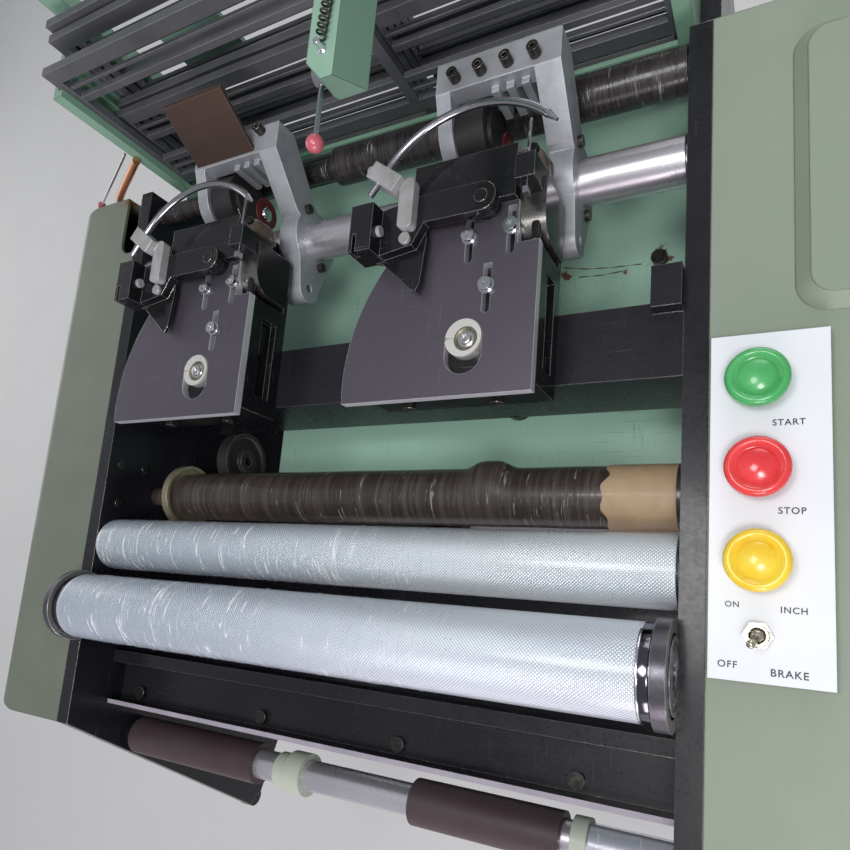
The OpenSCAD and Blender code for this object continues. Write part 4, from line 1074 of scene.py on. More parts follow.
    # The cup's bright cream edge colour, set as wear, is a painted highlight on its rim.
    CUP = Finish("olive_cup", (0.13, 0.118, 0.08), (0.24, 0.22, 0.16), metallic=0.5, rough=0.36, grain=500.0,
                 patch_scale=120.0, edge=0.4, wear=(0.85, 0.82, 0.7), wear_reach=0.3)
    RUBBER = Finish("brown_rubber", (0.062, 0.038, 0.044), (0.045, 0.029, 0.033), rough=0.46, grain=500.0,
                    grain_depth=0.06, edge=0.8, dust=0.04, shine=0.4)
    BELT = Finish("black_rubber", (0.015, 0.015, 0.015), (0.023, 0.022, 0.02), rough=0.6, grain=420.0,
                  grain_depth=0.08, edge=0.5, dust=0.12)
    BUFFER = Finish("buffer_rubber", (0.018, 0.017, 0.019), (0.03, 0.026, 0.027), rough=0.4, grain=420.0,
                    grain_depth=0.05, edge=0.8)
    BUFFER_RED = Finish(
        "buffer_red", (0.2, 0.014, 0.02), (0.11, 0.008, 0.013), rough=0.34, patch_scale=80.0, edge=0.5
    )
    NYLON = Finish(
        "white_nylon", (0.5, 0.54, 0.45), (0.4, 0.43, 0.36), rough=0.36, grain=300.0, grain_depth=0.04,
        edge=0.8, dust=0.1
    )
    REED = Finish(
        "reed_brown", (0.062, 0.04, 0.032), (0.044, 0.03, 0.025), rough=0.72, grain=260.0, grain_depth=0.05,
        edge=0.6, wear=(0.3, 0.25, 0.2), wear_reach=0.1, shine=0.12
    )
    # Its side faces take TwoTone's dark brown default: painted shade along the panel's edges.
    PANEL = TwoTone(
        "white_panel", (0.8, 0.82, 0.85), (0.76, 0.78, 0.82), rough=0.45, rough_spread=0.04, coat=0.04,
        grain=300.0, grain_depth=0.015, patch_scale=8.0, edge=0.5
    )
    INK = Finish("panel_ink", (0.02, 0.02, 0.035), (0.035, 0.035, 0.05), rough=0.5, edge=0.0)
    GREEN = Finish("green_button", (0.055, 0.36, 0.1), (0.08, 0.42, 0.13), rough=0.26, coat=0.4, grain=500.0,
                   grain_depth=0.02, patch_scale=40.0, edge=0.0)
    RED = Finish("red_button", (0.72, 0.035, 0.04), (0.8, 0.06, 0.06), rough=0.26, coat=0.4, grain=500.0,
                 grain_depth=0.02, patch_scale=40.0, edge=0.0)
    YELLOW = Finish("yellow_button", (0.86, 0.53, 0.02), (0.9, 0.66, 0.05), rough=0.26, coat=0.4, grain=500.0,
                    grain_depth=0.02, patch_scale=40.0, edge=0.0)
    KNOB = Finish("red_knob", (0.42, 0.07, 0.1), (0.5, 0.11, 0.14), rough=0.3, coat=0.3, edge=0.3)
    COPPER = Finish("copper_tube", (0.8, 0.36, 0.2), (0.62, 0.28, 0.16), metallic=0.9, rough=0.3, edge=0.0)
    MOTOR = Finish(
        "motor_paint", (0.08, 0.13, 0.115), (0.06, 0.1, 0.09), rough=0.4, grain=220.0, grain_depth=0.1,
        edge=1.0, wear=(0.3, 0.3, 0.28), wear_reach=0.1, dust=0.2
    )

    def on(self, *pieces: bpy.types.Object) -> None:
        """Put this finish on pieces."""
        self.value.on(*pieces)


def ride(piece: bpy.types.Object, body: str, finish: Finishes) -> bpy.types.Object:
    """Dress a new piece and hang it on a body.

    Args:
        piece: The new piece.
        body: The CAD body it moves with.
        finish: Its finish.

    Returns:
        The piece.
    """
    finish.on(piece)
    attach(piece, body)
    LOG.info("piece %s rides on %s", piece.name, body)
    return piece


# ----------------------------------------------------------------- sub-assemblies


@dataclass
class CadFinishes:
    """Gives every CAD node its finish."""

    nodes: dict[str, bpy.types.Object]

    FINISH_OF = {
        Finishes.BLACK: ("left_side_plate", "right_side_plate", "base_frame", "front_rail"),
        Finishes.BEAM: ("cross_beam",),
        Finishes.BLACK_GLOSS: ("head_body_left", "head_body_right", "needle_arm_left", "needle_arm_right"),
        Finishes.SAGE: ("right_casing",), Finishes.SAGE_SHADED_LEFT: ("left_casing",), Finishes.MINT: ("bed_plate",),
        Finishes.MINT_SHADED: ("heald_guides", "stop_box"), Finishes.MOTOR: ("motor",),
        Finishes.IRON: ("levelling_feet", "takeup_wheel", "motor_pulley"), Finishes.ARM: ("roller_end_arms",),
        Finishes.OILED: ("frame_bolts", "bracket_screws"), Finishes.KNURL_TAKEUP: ("takeup_roller",),
        Finishes.CHROME: ("front_roller",), Finishes.SILVER: ("toggle_switch", "toggle_lever"),
        Finishes.SHAFT: ("delivery_shaft", "sley_shaft", "main_shaft"), Finishes.WOUND: ("cloth_roller",),
        Finishes.WOUND_DARK: ("rear_roller",), Finishes.BRASS: ("roller_flange",),
        Finishes.DISC: ("eccentric_discs",), Finishes.RUBBER: ("rubber_rollers",),
        Finishes.BUFFER: ("bracket_buffers",), Finishes.BELT: ("drive_belt",),
        Finishes.NYLON: ("shaft_collars",), Finishes.CAST: ("sley_bracket_left", "sley_bracket_right"),
        Finishes.CLAMP: ("needle_clamp_left", "needle_clamp_right"), Finishes.REED: ("reed_guard",),
        Finishes.PLATE: ("head_plate_left", "head_plate_right"),
        Finishes.NEEDLE: (
            "weft_needle_left", "weft_needle_right", "latch_needle_left", "latch_needle_right", "trip_lever"
        ),
        Finishes.BRIGHT: ("plate_screws",), Finishes.SLAT: tuple(f"heald_frame_{i}" for i in range(1, 7)),
        Finishes.KNOB: ("trip_knob",), Finishes.PANEL: ("control_panel",), Finishes.GREEN: ("start_button",),
        Finishes.RED: ("stop_button",), Finishes.YELLOW: ("inch_button",),
    }

    def build(self) -> None:
        """Dress all nodes."""
        for finish, names in self.FINISH_OF.items():
            for name in names:
                finish.on(self.nodes[name])
        LOG.info("%d CAD nodes dressed", sum(len(n) for n in self.FINISH_OF.values()))


@dataclass
class Rollers:
    """Knurled skins, clear film, wound band and paper of the rollers."""

    front: tuple[float, float, float] = (-31.0, 12.0, 30.5)
    takeup: tuple[float, float, float] = (33.6, -24.0, 25.4)
    cloth: tuple[float, float, float] = (92.0, -70.0, 24.5)
    rear: tuple[float, float, float] = (409.0, -20.0, 17.0)
    skin: float = 0.25
    film_grid: tuple[int, int] = (420, 120)
    band_grid: tuple[int, int] = (380, 96)

    def _skin(self, name: str, spec: tuple[float, float, float], x0: float, x1: float) -> bpy.types.Object:
        """A closed ring over a roller from x0 to x1.

        Args:
            name: Name of the piece.
            spec: The roller's depth, height and radius.
            x0: Left end.
            x1: Right end.

        Returns:
            The linked object.
        """
        y, z, r = spec
        inner, outer = r - 0.6, r + self.skin
        section = closed([(x0, inner), (x0, outer), (x1, outer), (x1, inner)], 1.2)
        return turned(name, section, (0.0, y, z), sides=128)

    def _film(
        self, name: str, spec: tuple[float, float, float], x0: float, x1: float, lift: float, seed: int
    ) -> bpy.types.Object:
        """Wrinkled sleeve: radius = r + lift + 0.5 exp(-5 |waves|), smooth at the ends, on a plain wall.

        Args:
            name: Name of the piece.
            spec: The roller's depth, height and radius.
            x0: Left end.
            x1: Right end.
            lift: Mean gap over the roller.
            seed: Seed of the creases.

        Returns:
            The linked object.
        """
        y, z, r = spec
        u, v = unit_grid(*self.film_grid)
        field = waves(u, v, seed, 26, (6.0, 60.0), 5)
        crease = np.exp(-np.abs(field) * 5.0)
        fade = np.clip(np.minimum(u, 1 - u) * 20, 0, 1)
        outer = r + lift + 0.5 * crease * fade
        along = x0 + (x1 - x0) * u + 0 * v
        shell = around(along, (y, z), outer, v)
        inner = around(along, (y, z), r + lift - 0.2, v)
        return solid_from_grid(name, np.concatenate([shell, inner[::-1][::30], shell[:1]]), smooth_deg=80.0)

    def _wound(
        self, name: str, spec: tuple[float, float, float], x0: float, x1: float, seed: int,
        lump: float | None = None, tear: float = 0.0,
    ) -> bpy.types.Object:
        """Wound band: radius = r + 0.3 + slow waves + fine ridges, with a soft lump and a torn left edge.

        Args:
            name: Name of the piece.
            spec: The roller's depth, height and radius.
            x0: Left end.
            x1: Right end.
            seed: Seed of the ridges.
            lump: Place of the lump along the roller, or None.
            tear: How far the left edge strays, in millimetres.

        Returns:
            The linked object.
        """
        y, z, r = spec
        u, v = unit_grid(*self.band_grid)
        body = r + 0.3 + 0.08 * waves(u, v, seed, 12, (2.0, 10.0), 2) + 0.03 * waves(
            u, v, seed + 1, 20, (60.0, 150.0), 1
        )
        along = x0 + (x1 - x0) * u + tear * (1 - u) ** 3 * waves(0 * u, v, seed + 2, 9, (0.0, 1.0), 9)
        if lump is not None:
            turn = (v - 0.06 + 0.5) % 1.0 - 0.5
            body = body + (
                6.0 + 0.8 * waves(u, v, seed + 3, 6, (4.0, 12.0), 3)
            ) * np.exp(-(((along - lump) / 17.0) ** 4) - (turn / 0.13) ** 2)
        grid = around(along, (y, z), body, v)
        ends = [around(along[k:k + 1], (y, z), r - 1, v) for k in (0, len(along) - 1)]
        return solid_from_grid(name, np.concatenate([ends[0], grid, ends[1], ends[0]]), smooth_deg=60.0)

    def build(self) -> None:
        """Make and dress the roller pieces."""
        ride(
            self._skin("front_roller_knurl", self.front, -266.3, 264.3), "front_roller", Finishes.KNURL_FRONT,
        )
        ride(
            self._skin("takeup_roller_knurl", self.takeup, -279.5, 279.5), "takeup_roller",
            Finishes.KNURL_TAKEUP
        )
        for name, spec, x0, x1, seed, body in (
            ("front_roller_film", self.front, -262.0, 196.0, 3, "front_roller"),
            ("takeup_roller_film", self.takeup, -276.0, 168.0, 8, "takeup_roller"),
        ):
            film = self._film(name, spec, x0, x1, 0.55, seed)
            ClearFilm().on(film)
            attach(film, body)
        ride(
            self._wound("wound_band", self.cloth, -230.5, 279.5, 21, 124.0), "cloth_roller", Finishes.WOUND,
        )
        paper_spec = (self.cloth[0], self.cloth[1], self.cloth[2] + 0.7)
        ride(
            self._wound("paper_band", paper_spec, 221.0, 273.0, 33, tear=3.0), "cloth_roller", Finishes.PAPER,
        )
        ride(
            self._wound("warp_band", self.rear, -36.0, 279.0, 41), "rear_roller", Finishes.WOUND_DARK,
        )
        y, z, r = self.front
        for name, x0, x1 in (("front_collar_left", -274.4, -266.6), ("front_collar_right", 264.6, 272.4)):
            line = closed([(x0, 9.2), (x0, r - 0.3), (x1, r - 0.3), (x1, 9.2)], 1.6)
            ride(turned(name, line, (0.0, y, z), sides=96), "front_roller", Finishes.CHROME)
        rim = closed([(264.35, r - 2.2), (264.35, r + 0.35), (266.0, r + 0.35), (266.0, r - 2.2)], 0.5)
        ride(
            turned("front_roller_rim", rim, (0.0, y, z), sides=96), "front_roller", Finishes.BRIGHT,
        )
        for name, x0, x1, out in (
            ("bearing_face_right", 281.9, 282.9, 1), ("bearing_face_left", -281.9, -282.9, -1)
        ):
            rings = [
                (x0, 9.3), (x0, 24.0), (x1, 24.0), (x1, 21.5), (x0 + 0.3 * out, 21.0), (x0 + 0.3 * out, 17.2),
                (x1, 16.8), (x1, 12.6), (x0 + 0.3 * out, 12.2), (x0 + 0.3 * out, 9.3), (x0, 9.3)
            ]
            ride(turned(name, rings, (0.0, y, z), sides=96), "frame", Finishes.ARM)


@dataclass
class Controls:
    """Push buttons and lettering of the panel."""

    x: float = 327.0
    start_y: float = 151.0
    pitch: float = 55.5
    top: float = 8.0
    travel: float = 4.0
    radius: float = 18.5

    def _button(self, name: str, y: float) -> bpy.types.Object:
        """Mushroom button: skirt, rounded rim, shallow groove and low dome.

        Args:
            name: Name of the piece.
            y: Depth of its axis.

        Returns:
            The linked object.
        """
        r, z0 = self.radius, self.top + self.travel + 2.0
        dome = [(z0 + 10.5 - 2.4 * (k / 8.0) ** 2, (r - 8.5) * k / 8.0) for k in range(9)]
        rim = [
            (z0 + 7.0, r - 7.2), (z0 + 7.4, r - 6.0), (z0 + 9.0, r - 4.8), (z0 + 9.4, r - 3.4),
            (z0 + 9.0, r - 1.9), (z0 + 7.6, r - 0.7), (z0 + 6.0, r - 0.1), (z0 + 3.6, r), (z0 + 1.4, r - 0.4),
            (z0 + 0.2, r - 1.6)
        ]
        stem = [(z0, r - 2.4), (z0, 5.0), (-12.0, 5.0), (-12.0, 0.0)]
        return turned(name, dome + rim + stem, (self.x, y, 0.0), axis="z", sides=96, smooth_deg=40.0)

    def _label(self, name: str, word: str, x: float, y: float, width: float) -> bpy.types.Object:
        """Flat raised lettering on the panel.

        Args:
            name: Name of the piece.
            word: The word.
            x: Middle of the word.
            y: Middle height of its letters.
            width: Width of the word.

        Returns:
            The linked object.
        """
        curve = bpy.data.curves.new(name, "FONT")
        curve.body = word
        curve.size = 1.0
        curve.align_x, curve.align_y = "CENTER", "CENTER"
        curve.extrude = 0.03
        curve.offset = 0.012
        curve.space_character = 1.15
        carrier = bpy.data.objects.new(name + "_text", curve)
        bpy.context.scene.collection.objects.link(carrier)
        bpy.context.view_layer.update()
        mesh = bpy.data.meshes.new_from_object(carrier.evaluated_get(bpy.context.evaluated_depsgraph_get()))
        bpy.data.objects.remove(carrier)
        co = np.zeros(len(mesh.vertices) * 3, np.float32)
        mesh.vertices.foreach_get("co", co)
        co = co.reshape(-1, 3)
        co *= width / (co[:, 0].max() - co[:, 0].min())
        co[:, 2] = np.where(co[:, 2] > 0, 0.16, -0.05)
        mesh.vertices.foreach_set("co", place(co + [x, y, self.top]).astype(np.float32).ravel())
        mesh.name = name
        piece = bpy.data.objects.new(name, mesh)
        bpy.context.scene.collection.objects.link(piece)
        return piece

    def build(self) -> None:
        """Make the buttons with their seats, and the words."""
        plan = (
            ("start", Finishes.GREEN, "green_plastic"), ("stop", Finishes.RED, "red_plastic"),
            ("inch", Finishes.YELLOW, "yellow_plastic")
        )
        for k, (name, finish, slot) in enumerate(plan):
            y = self.start_y - k * self.pitch
            cap = self._button(name + "_button_cap", y)
            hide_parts(name + "_button")
            ride(cap, name, finish)
            low, high = self.top, self.top + 1.6
            section = closed([(low, 6.0), (high, 6.0), (high, 14.0), (low, 15.0)], 0.6)
            seat = turned(name + "_button_seat", section, (self.x, y, 0.0), axis="z", sides=64)
            ride(seat, "frame", Finishes.IRON)
        for name, word, x, y, width in (
            ("word_start", "START", 343.6, 124.6, 17.5), ("word_stop", "STOP", 345.0, 70.6, 14.5),
            ("word_on", "ON", 313.2, 14.0, 7.6), ("word_inch", "INCH", 345.6, 12.6, 13.5),
            ("word_off", "OFF", 310.8, -21.0, 10.5), ("word_brake", "BRAKE", 343.0, -23.4, 19.0),
        ):
            ride(self._label(name, word, x, y, width), "frame", Finishes.INK)


@dataclass
class Heads:
    """Discs, bare noses, links and wires of the two weaving heads."""

    places: tuple[tuple[str, float], ...] = (("left", -213.0), ("right", 47.0))
    disc: tuple[float, float, float] = (96.0, 185.0, 50.0)
    nose: tuple[float, float, float] = (132.0, 150.0, 255.0)
    nose_r: float = 19.0
    nose_top: float = 47.0
    link_grid: tuple[int, int] = (40, 64)
    link_power: float = 3.4

    def _disc_trim(self, side: str, hx: float) -> None:
        """Olive cup and socket bolt in the eccentric disc.

        Args:
            side: Name of the head.
            hx: The head's left edge.
        """
        x, y, z = self.disc[0] + hx + 2.0, self.disc[1] - 1.0, self.disc[2]
        cup = closed([(z - 0.9, 8.8), (z + 0.9, 8.6), (z + 0.7, 7.6), (z - 0.5, 5.0), (z - 0.9, 5.0)], 0.4)
        ride(
            turned(f"disc_cup_{side}", cup, (x, y, 0.0), axis="z", sides=64), "frame", Finishes.CUP,
        )
        bolt = rounded(
            [
                (z - 0.9, 0.0), (z - 0.9, 6.2), (z + 0.1, 6.2), (z + 0.1, 4.6), (z + 2.6, 4.3),
                (z + 2.8, 2.4), (z + 1.2, 2.2), (z + 1.2, 0.0)
            ],
            0.35, steps=2
        )
        ride(
            turned(f"disc_bolt_{side}", bolt, (x, y, 0.0), axis="z", sides=48), "frame", Finishes.BRIGHT,
        )

    def _nose(self, side: str, hx: float) -> None:
        """Bare metal skin over the rounded nose beside the plate: a quarter circle, then flat to the rear.

        Args:
            side: Name of the head.
            hx: The head's left edge.
        """
        x0, x1, y0 = self.nose
        yc, zc = y0 + self.nose_r, self.nose_top - self.nose_r
        arc = [
            (yc - self.nose_r * math.cos(a), zc + self.nose_r * math.sin(a))
            for a in np.linspace(0.0, math.pi / 2, 14)
        ]
        path = [(y0, 6.0), (y0, zc - 8.0)] + arc + [(yc + 8.0, self.nose_top), (299.6, self.nose_top)]
        skin = strip(f"nose_skin_{side}", path, hx + x0 + 0.2, hx + x1 + 0.25, 0.3)
        ride(skin, "frame", Finishes.NOSE)

    def _link(self, side: str, hx: float, seed: int) -> None:
        """Greased link behind the riser, and its bolt: |x|^p + |y|^p + |z|^p = 1, roughened by waves.

        Args:
            side: Name of the head.
            hx: The head's left edge.
            seed: Seed of the roughness.
        """
        u, v = unit_grid(*self.link_grid)
        lat, lon = (u - 0.5) * math.pi, v * TAU
        way = np.stack([np.cos(lat) * np.cos(lon), np.cos(lat) * np.sin(lon), np.sin(lat) + 0 * lon], -1)
        size = (np.abs(way) ** self.link_power).sum(-1, keepdims=True) ** (-1 / self.link_power)
        rough = 1.0 + (0.035 * waves(u, v, seed, 14, (1.0, 6.0), 5) * np.cos(lat))[..., None]
        grid = way * size * rough * [10.5, 9.5, 17.0] + [hx + 138.0, 313.0, 38.0]
        ride(
            solid_from_grid(f"greased_link_{side}", grid, smooth_deg=60.0), "frame", Finishes.GREASED,
        )
        head = rounded([(54.0, 0.0), (57.2, 0.0), (57.2, 3.6), (54.0, 3.8)], 0.5)
        ride(
            turned(f"link_bolt_{side}", head, (hx + 142.0, 317.0, 0.0), axis="z", sides=24), "frame",
            Finishes.OILED
        )

    def _wire(self, side: str, hx: float) -> None:
        """Catch wire from the link up beside the needle, bent at seven points.

        Args:
            side: Name of the head.
            hx: The head's left edge.
        """
        points = np.array(
            [
                (131.0, 306.0, 52.0), (131.6, 307.5, 57.0), (134.0, 309.5, 58.6), (137.5, 311.0, 59.6),
                (140.5, 312.8, 63.5), (143.0, 314.6, 68.5), (145.2, 316.4, 73.5)
            ]
        ) + [hx, 0.0, 0.0]
        path = polyline(points, 40)
        ride(swept(f"catch_wire_{side}", path, 0.65, sides=12), "frame", Finishes.BRIGHT)

    def build(self) -> None:
        """Trim both heads."""
        for k, (side, hx) in enumerate(self.places):
            self._disc_trim(side, hx)
            self._nose(side, hx)
            self._link(side, hx, 51 + k)
            self._wire(side, hx)
            for j, (x, y, z) in enumerate(((21.0, 262.0, 80.0), (21.0, 277.0, 80.0))):
                rivet = rounded([(z, 0.0), (z, 2.2), (z - 0.6, 2.6), (z - 1.0, 2.6)], 0.2)
                rivet = [(2 * z - a - 1.0 + 0.05, r) for a, r in rivet]
                body = "needle_" + side
                ride(
                    turned(f"holder_rivet_{side}_{j + 1}", rivet, (hx + x, y, -0.2), axis="z", sides=24),
                    body, Finishes.BRIGHT
                )


@dataclass
class Fittings:
    """Rail lip highlight, drip tray, clear sleeve, buffer faces, box spring, tube, rod and the scratches of
    the bed.
    """

    half_w: float = 282.0
    buffers: tuple[float, ...] = (-157.0, 103.0)

    def _rail(self) -> None:
        """Lilac strip on the lip of the front rail: a painted highlight."""
        lip = plate(
            "rail_lip_highlight", rectangle(-self.half_w + 0.6, -130.15, self.half_w - 0.6, -125.85), -43.0,
            -42.6, 0.2
        )
        ride(lip, "frame", Finishes.LIP_HIGHLIGHT)

    def _sleeve(self) -> None:
        """Clear sleeve over the bare right end of the delivery shaft: a ring with soft ends."""
        ring = closed([(212.4, 13.7), (212.4, 15.0), (279.0, 15.0), (279.0, 13.7)], 0.5)
        sleeve = turned("shaft_sleeve", ring, (0.0, -167.0, -90.0), sides=72)
        ClearFilm(
            "bluish_sleeve", alpha=0.25, tint=(0.62, 0.68, 0.76), crease=0.56, crease_alpha=0.5, rough=0.12,
            fade=(0.4, 0.5)
        ).on(sleeve)
        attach(sleeve, "delivery")

    def _buffers(self) -> None:
        """Dark red dished face of each buffer, with a bright hub in its centre."""
        for k, x in enumerate(self.buffers):
            x0 = x + 39.0
            face = [(x0, 7.5), (x0 + 0.9, 7.5), (x0 + 0.5, 10.5), (x0 + 0.9, 14.6), (x0, 15.4), (x0, 7.5)]
            ride(
                turned(f"buffer_face_{k + 1}", face, (0.0, 372.0, -12.0), sides=72), "sley",
                Finishes.BUFFER_RED
            )
            hub = rounded([(x0, 0.0), (x0 + 2.4, 0.0), (x0 + 2.4, 5.2), (x0, 6.6)], 0.6)
            ride(
                turned(f"buffer_hub_{k + 1}", hub, (0.0, 372.0, -12.0), sides=48), "sley", Finishes.BRIGHT,
            )

    def _spring(self) -> None:
        """Black coil spring on the stop box: a helix, between two posts."""
        t = np.linspace(0.0, 1.0, 420)
        turns = 11.0
        y = 302.0 + 48.0 * t
        radius = 2.6 * np.clip(np.minimum(t, 1 - t) * 14, 0.1, 1)
        path = np.stack(
            [
                115.0 + 0.08 * (y - 302.0) + radius * np.cos(TAU * turns * t), y,
                203.4 + radius * np.sin(TAU * turns * t)
            ],
            -1
        )
        ride(swept("trip_spring", path, 0.7, sides=10), "frame", Finishes.OILED)
        for k, (x, y0) in enumerate(((115.0, 300.4), (119.0, 351.6))):
            post = rounded(
                [
                    (199.4, 0.0), (207.0, 0.0), (207.0, 2.2), (205.6, 2.2), (205.4, 1.6), (201.0, 1.6),
                    (200.4, 3.2), (199.4, 3.2)
                ],
                0.3, 2
            )
            ride(
                turned(f"spring_post_{k + 1}", post, (x, y0, 0.0), axis="z", sides=24), "frame",
                Finishes.BRIGHT
            )

    def _tube(self) -> None:
        """Copper oil tube and thin rod with a knob behind the left casing."""
        bends = np.array(
            [
                (-276.0, 444.5, 30.0), (-300.0, 443.0, 18.0), (-330.0, 441.0, 3.0), (-352.0, 440.0, -9.0),
                (-366.0, 439.0, -28.0), (-370.0, 438.5, -60.0), (-370.0, 438.5, -150.0),
                (-362.0, 438.5, -196.0), (-340.0, 438.5, -214.0), (-298.0, 438.5, -216.0)
            ]
        )
        path = polyline(bends, 90)
        kernel = np.array([1, 2, 3, 2, 1]) / 9.0
        for _ in range(3):
            path[2:-2] = np.stack([np.convolve(path[:, k], kernel, "valid") for k in range(3)], -1)
        ride(swept("oil_tube", path, 4.2, sides=24), "frame", Finishes.COPPER)
        rod = np.linspace((-281.0, 446.5, 41.0), (-393.0, 445.0, -15.5), 24)
        ride(swept("second_trip_rod", rod, 1.5, sides=16), "frame", Finishes.NEEDLE)
        ball = np.linspace((-388.5, 445.1, -13.2), (-399.0, 444.9, -18.6), 20)
        bulge = 4.6 * np.sqrt(np.clip(1 - np.linspace(-1, 1, 20) ** 2, 0.02, 1))
        ride(swept("second_trip_knob", ball, bulge, sides=24), "frame", Finishes.KNOB)

    def _bed_marks(self) -> None:
        """Two shallow bent scratches in the bed's paint."""
        for k, points in enumerate(
            (
                ((152.0, 331.0), (176.0, 325.5), (199.0, 323.0), (226.0, 322.0)),
                ((168.0, 318.5), (190.0, 316.8), (214.0, 318.0))
            )
        ):
            line = np.array([(x, y, -140.05) for x, y in points])
            width = 0.45 + 0.2 * np.sin(np.linspace(0, len(line) - 1, 30) * 9.0)
            scratch = swept(f"bed_scratch_{k + 1}", polyline(line, 30), width, sides=8)
            ride(scratch, "frame", Finishes.GREASED)

    def _tray(self) -> None:
        """Dark drip tray between the side plates, under the rollers: a sheet with turned-up edges."""
        sheet = plate(
            "drip_tray", rectangle(0.1 - self.half_w, -132.0, self.half_w - 0.1, 70.0), -301.5, -300.0, 0.4
        )
        ride(sheet, "frame", Finishes.BLACK)
        for name, y in (("front", -132.0), ("rear", 68.5)):
            edge = plate(
                f"drip_tray_{name}", rectangle(0.1 - self.half_w, y, self.half_w - 0.1, y + 1.5), -300.6,
                -288.0, 0.4
            )
            ride(edge, "frame", Finishes.BLACK)

    def build(self) -> None:
        """Make the fittings."""
        self._rail()
        self._tray()
        self._sleeve()
        self._buffers()
        self._spring()
        self._tube()
        self._bed_marks()


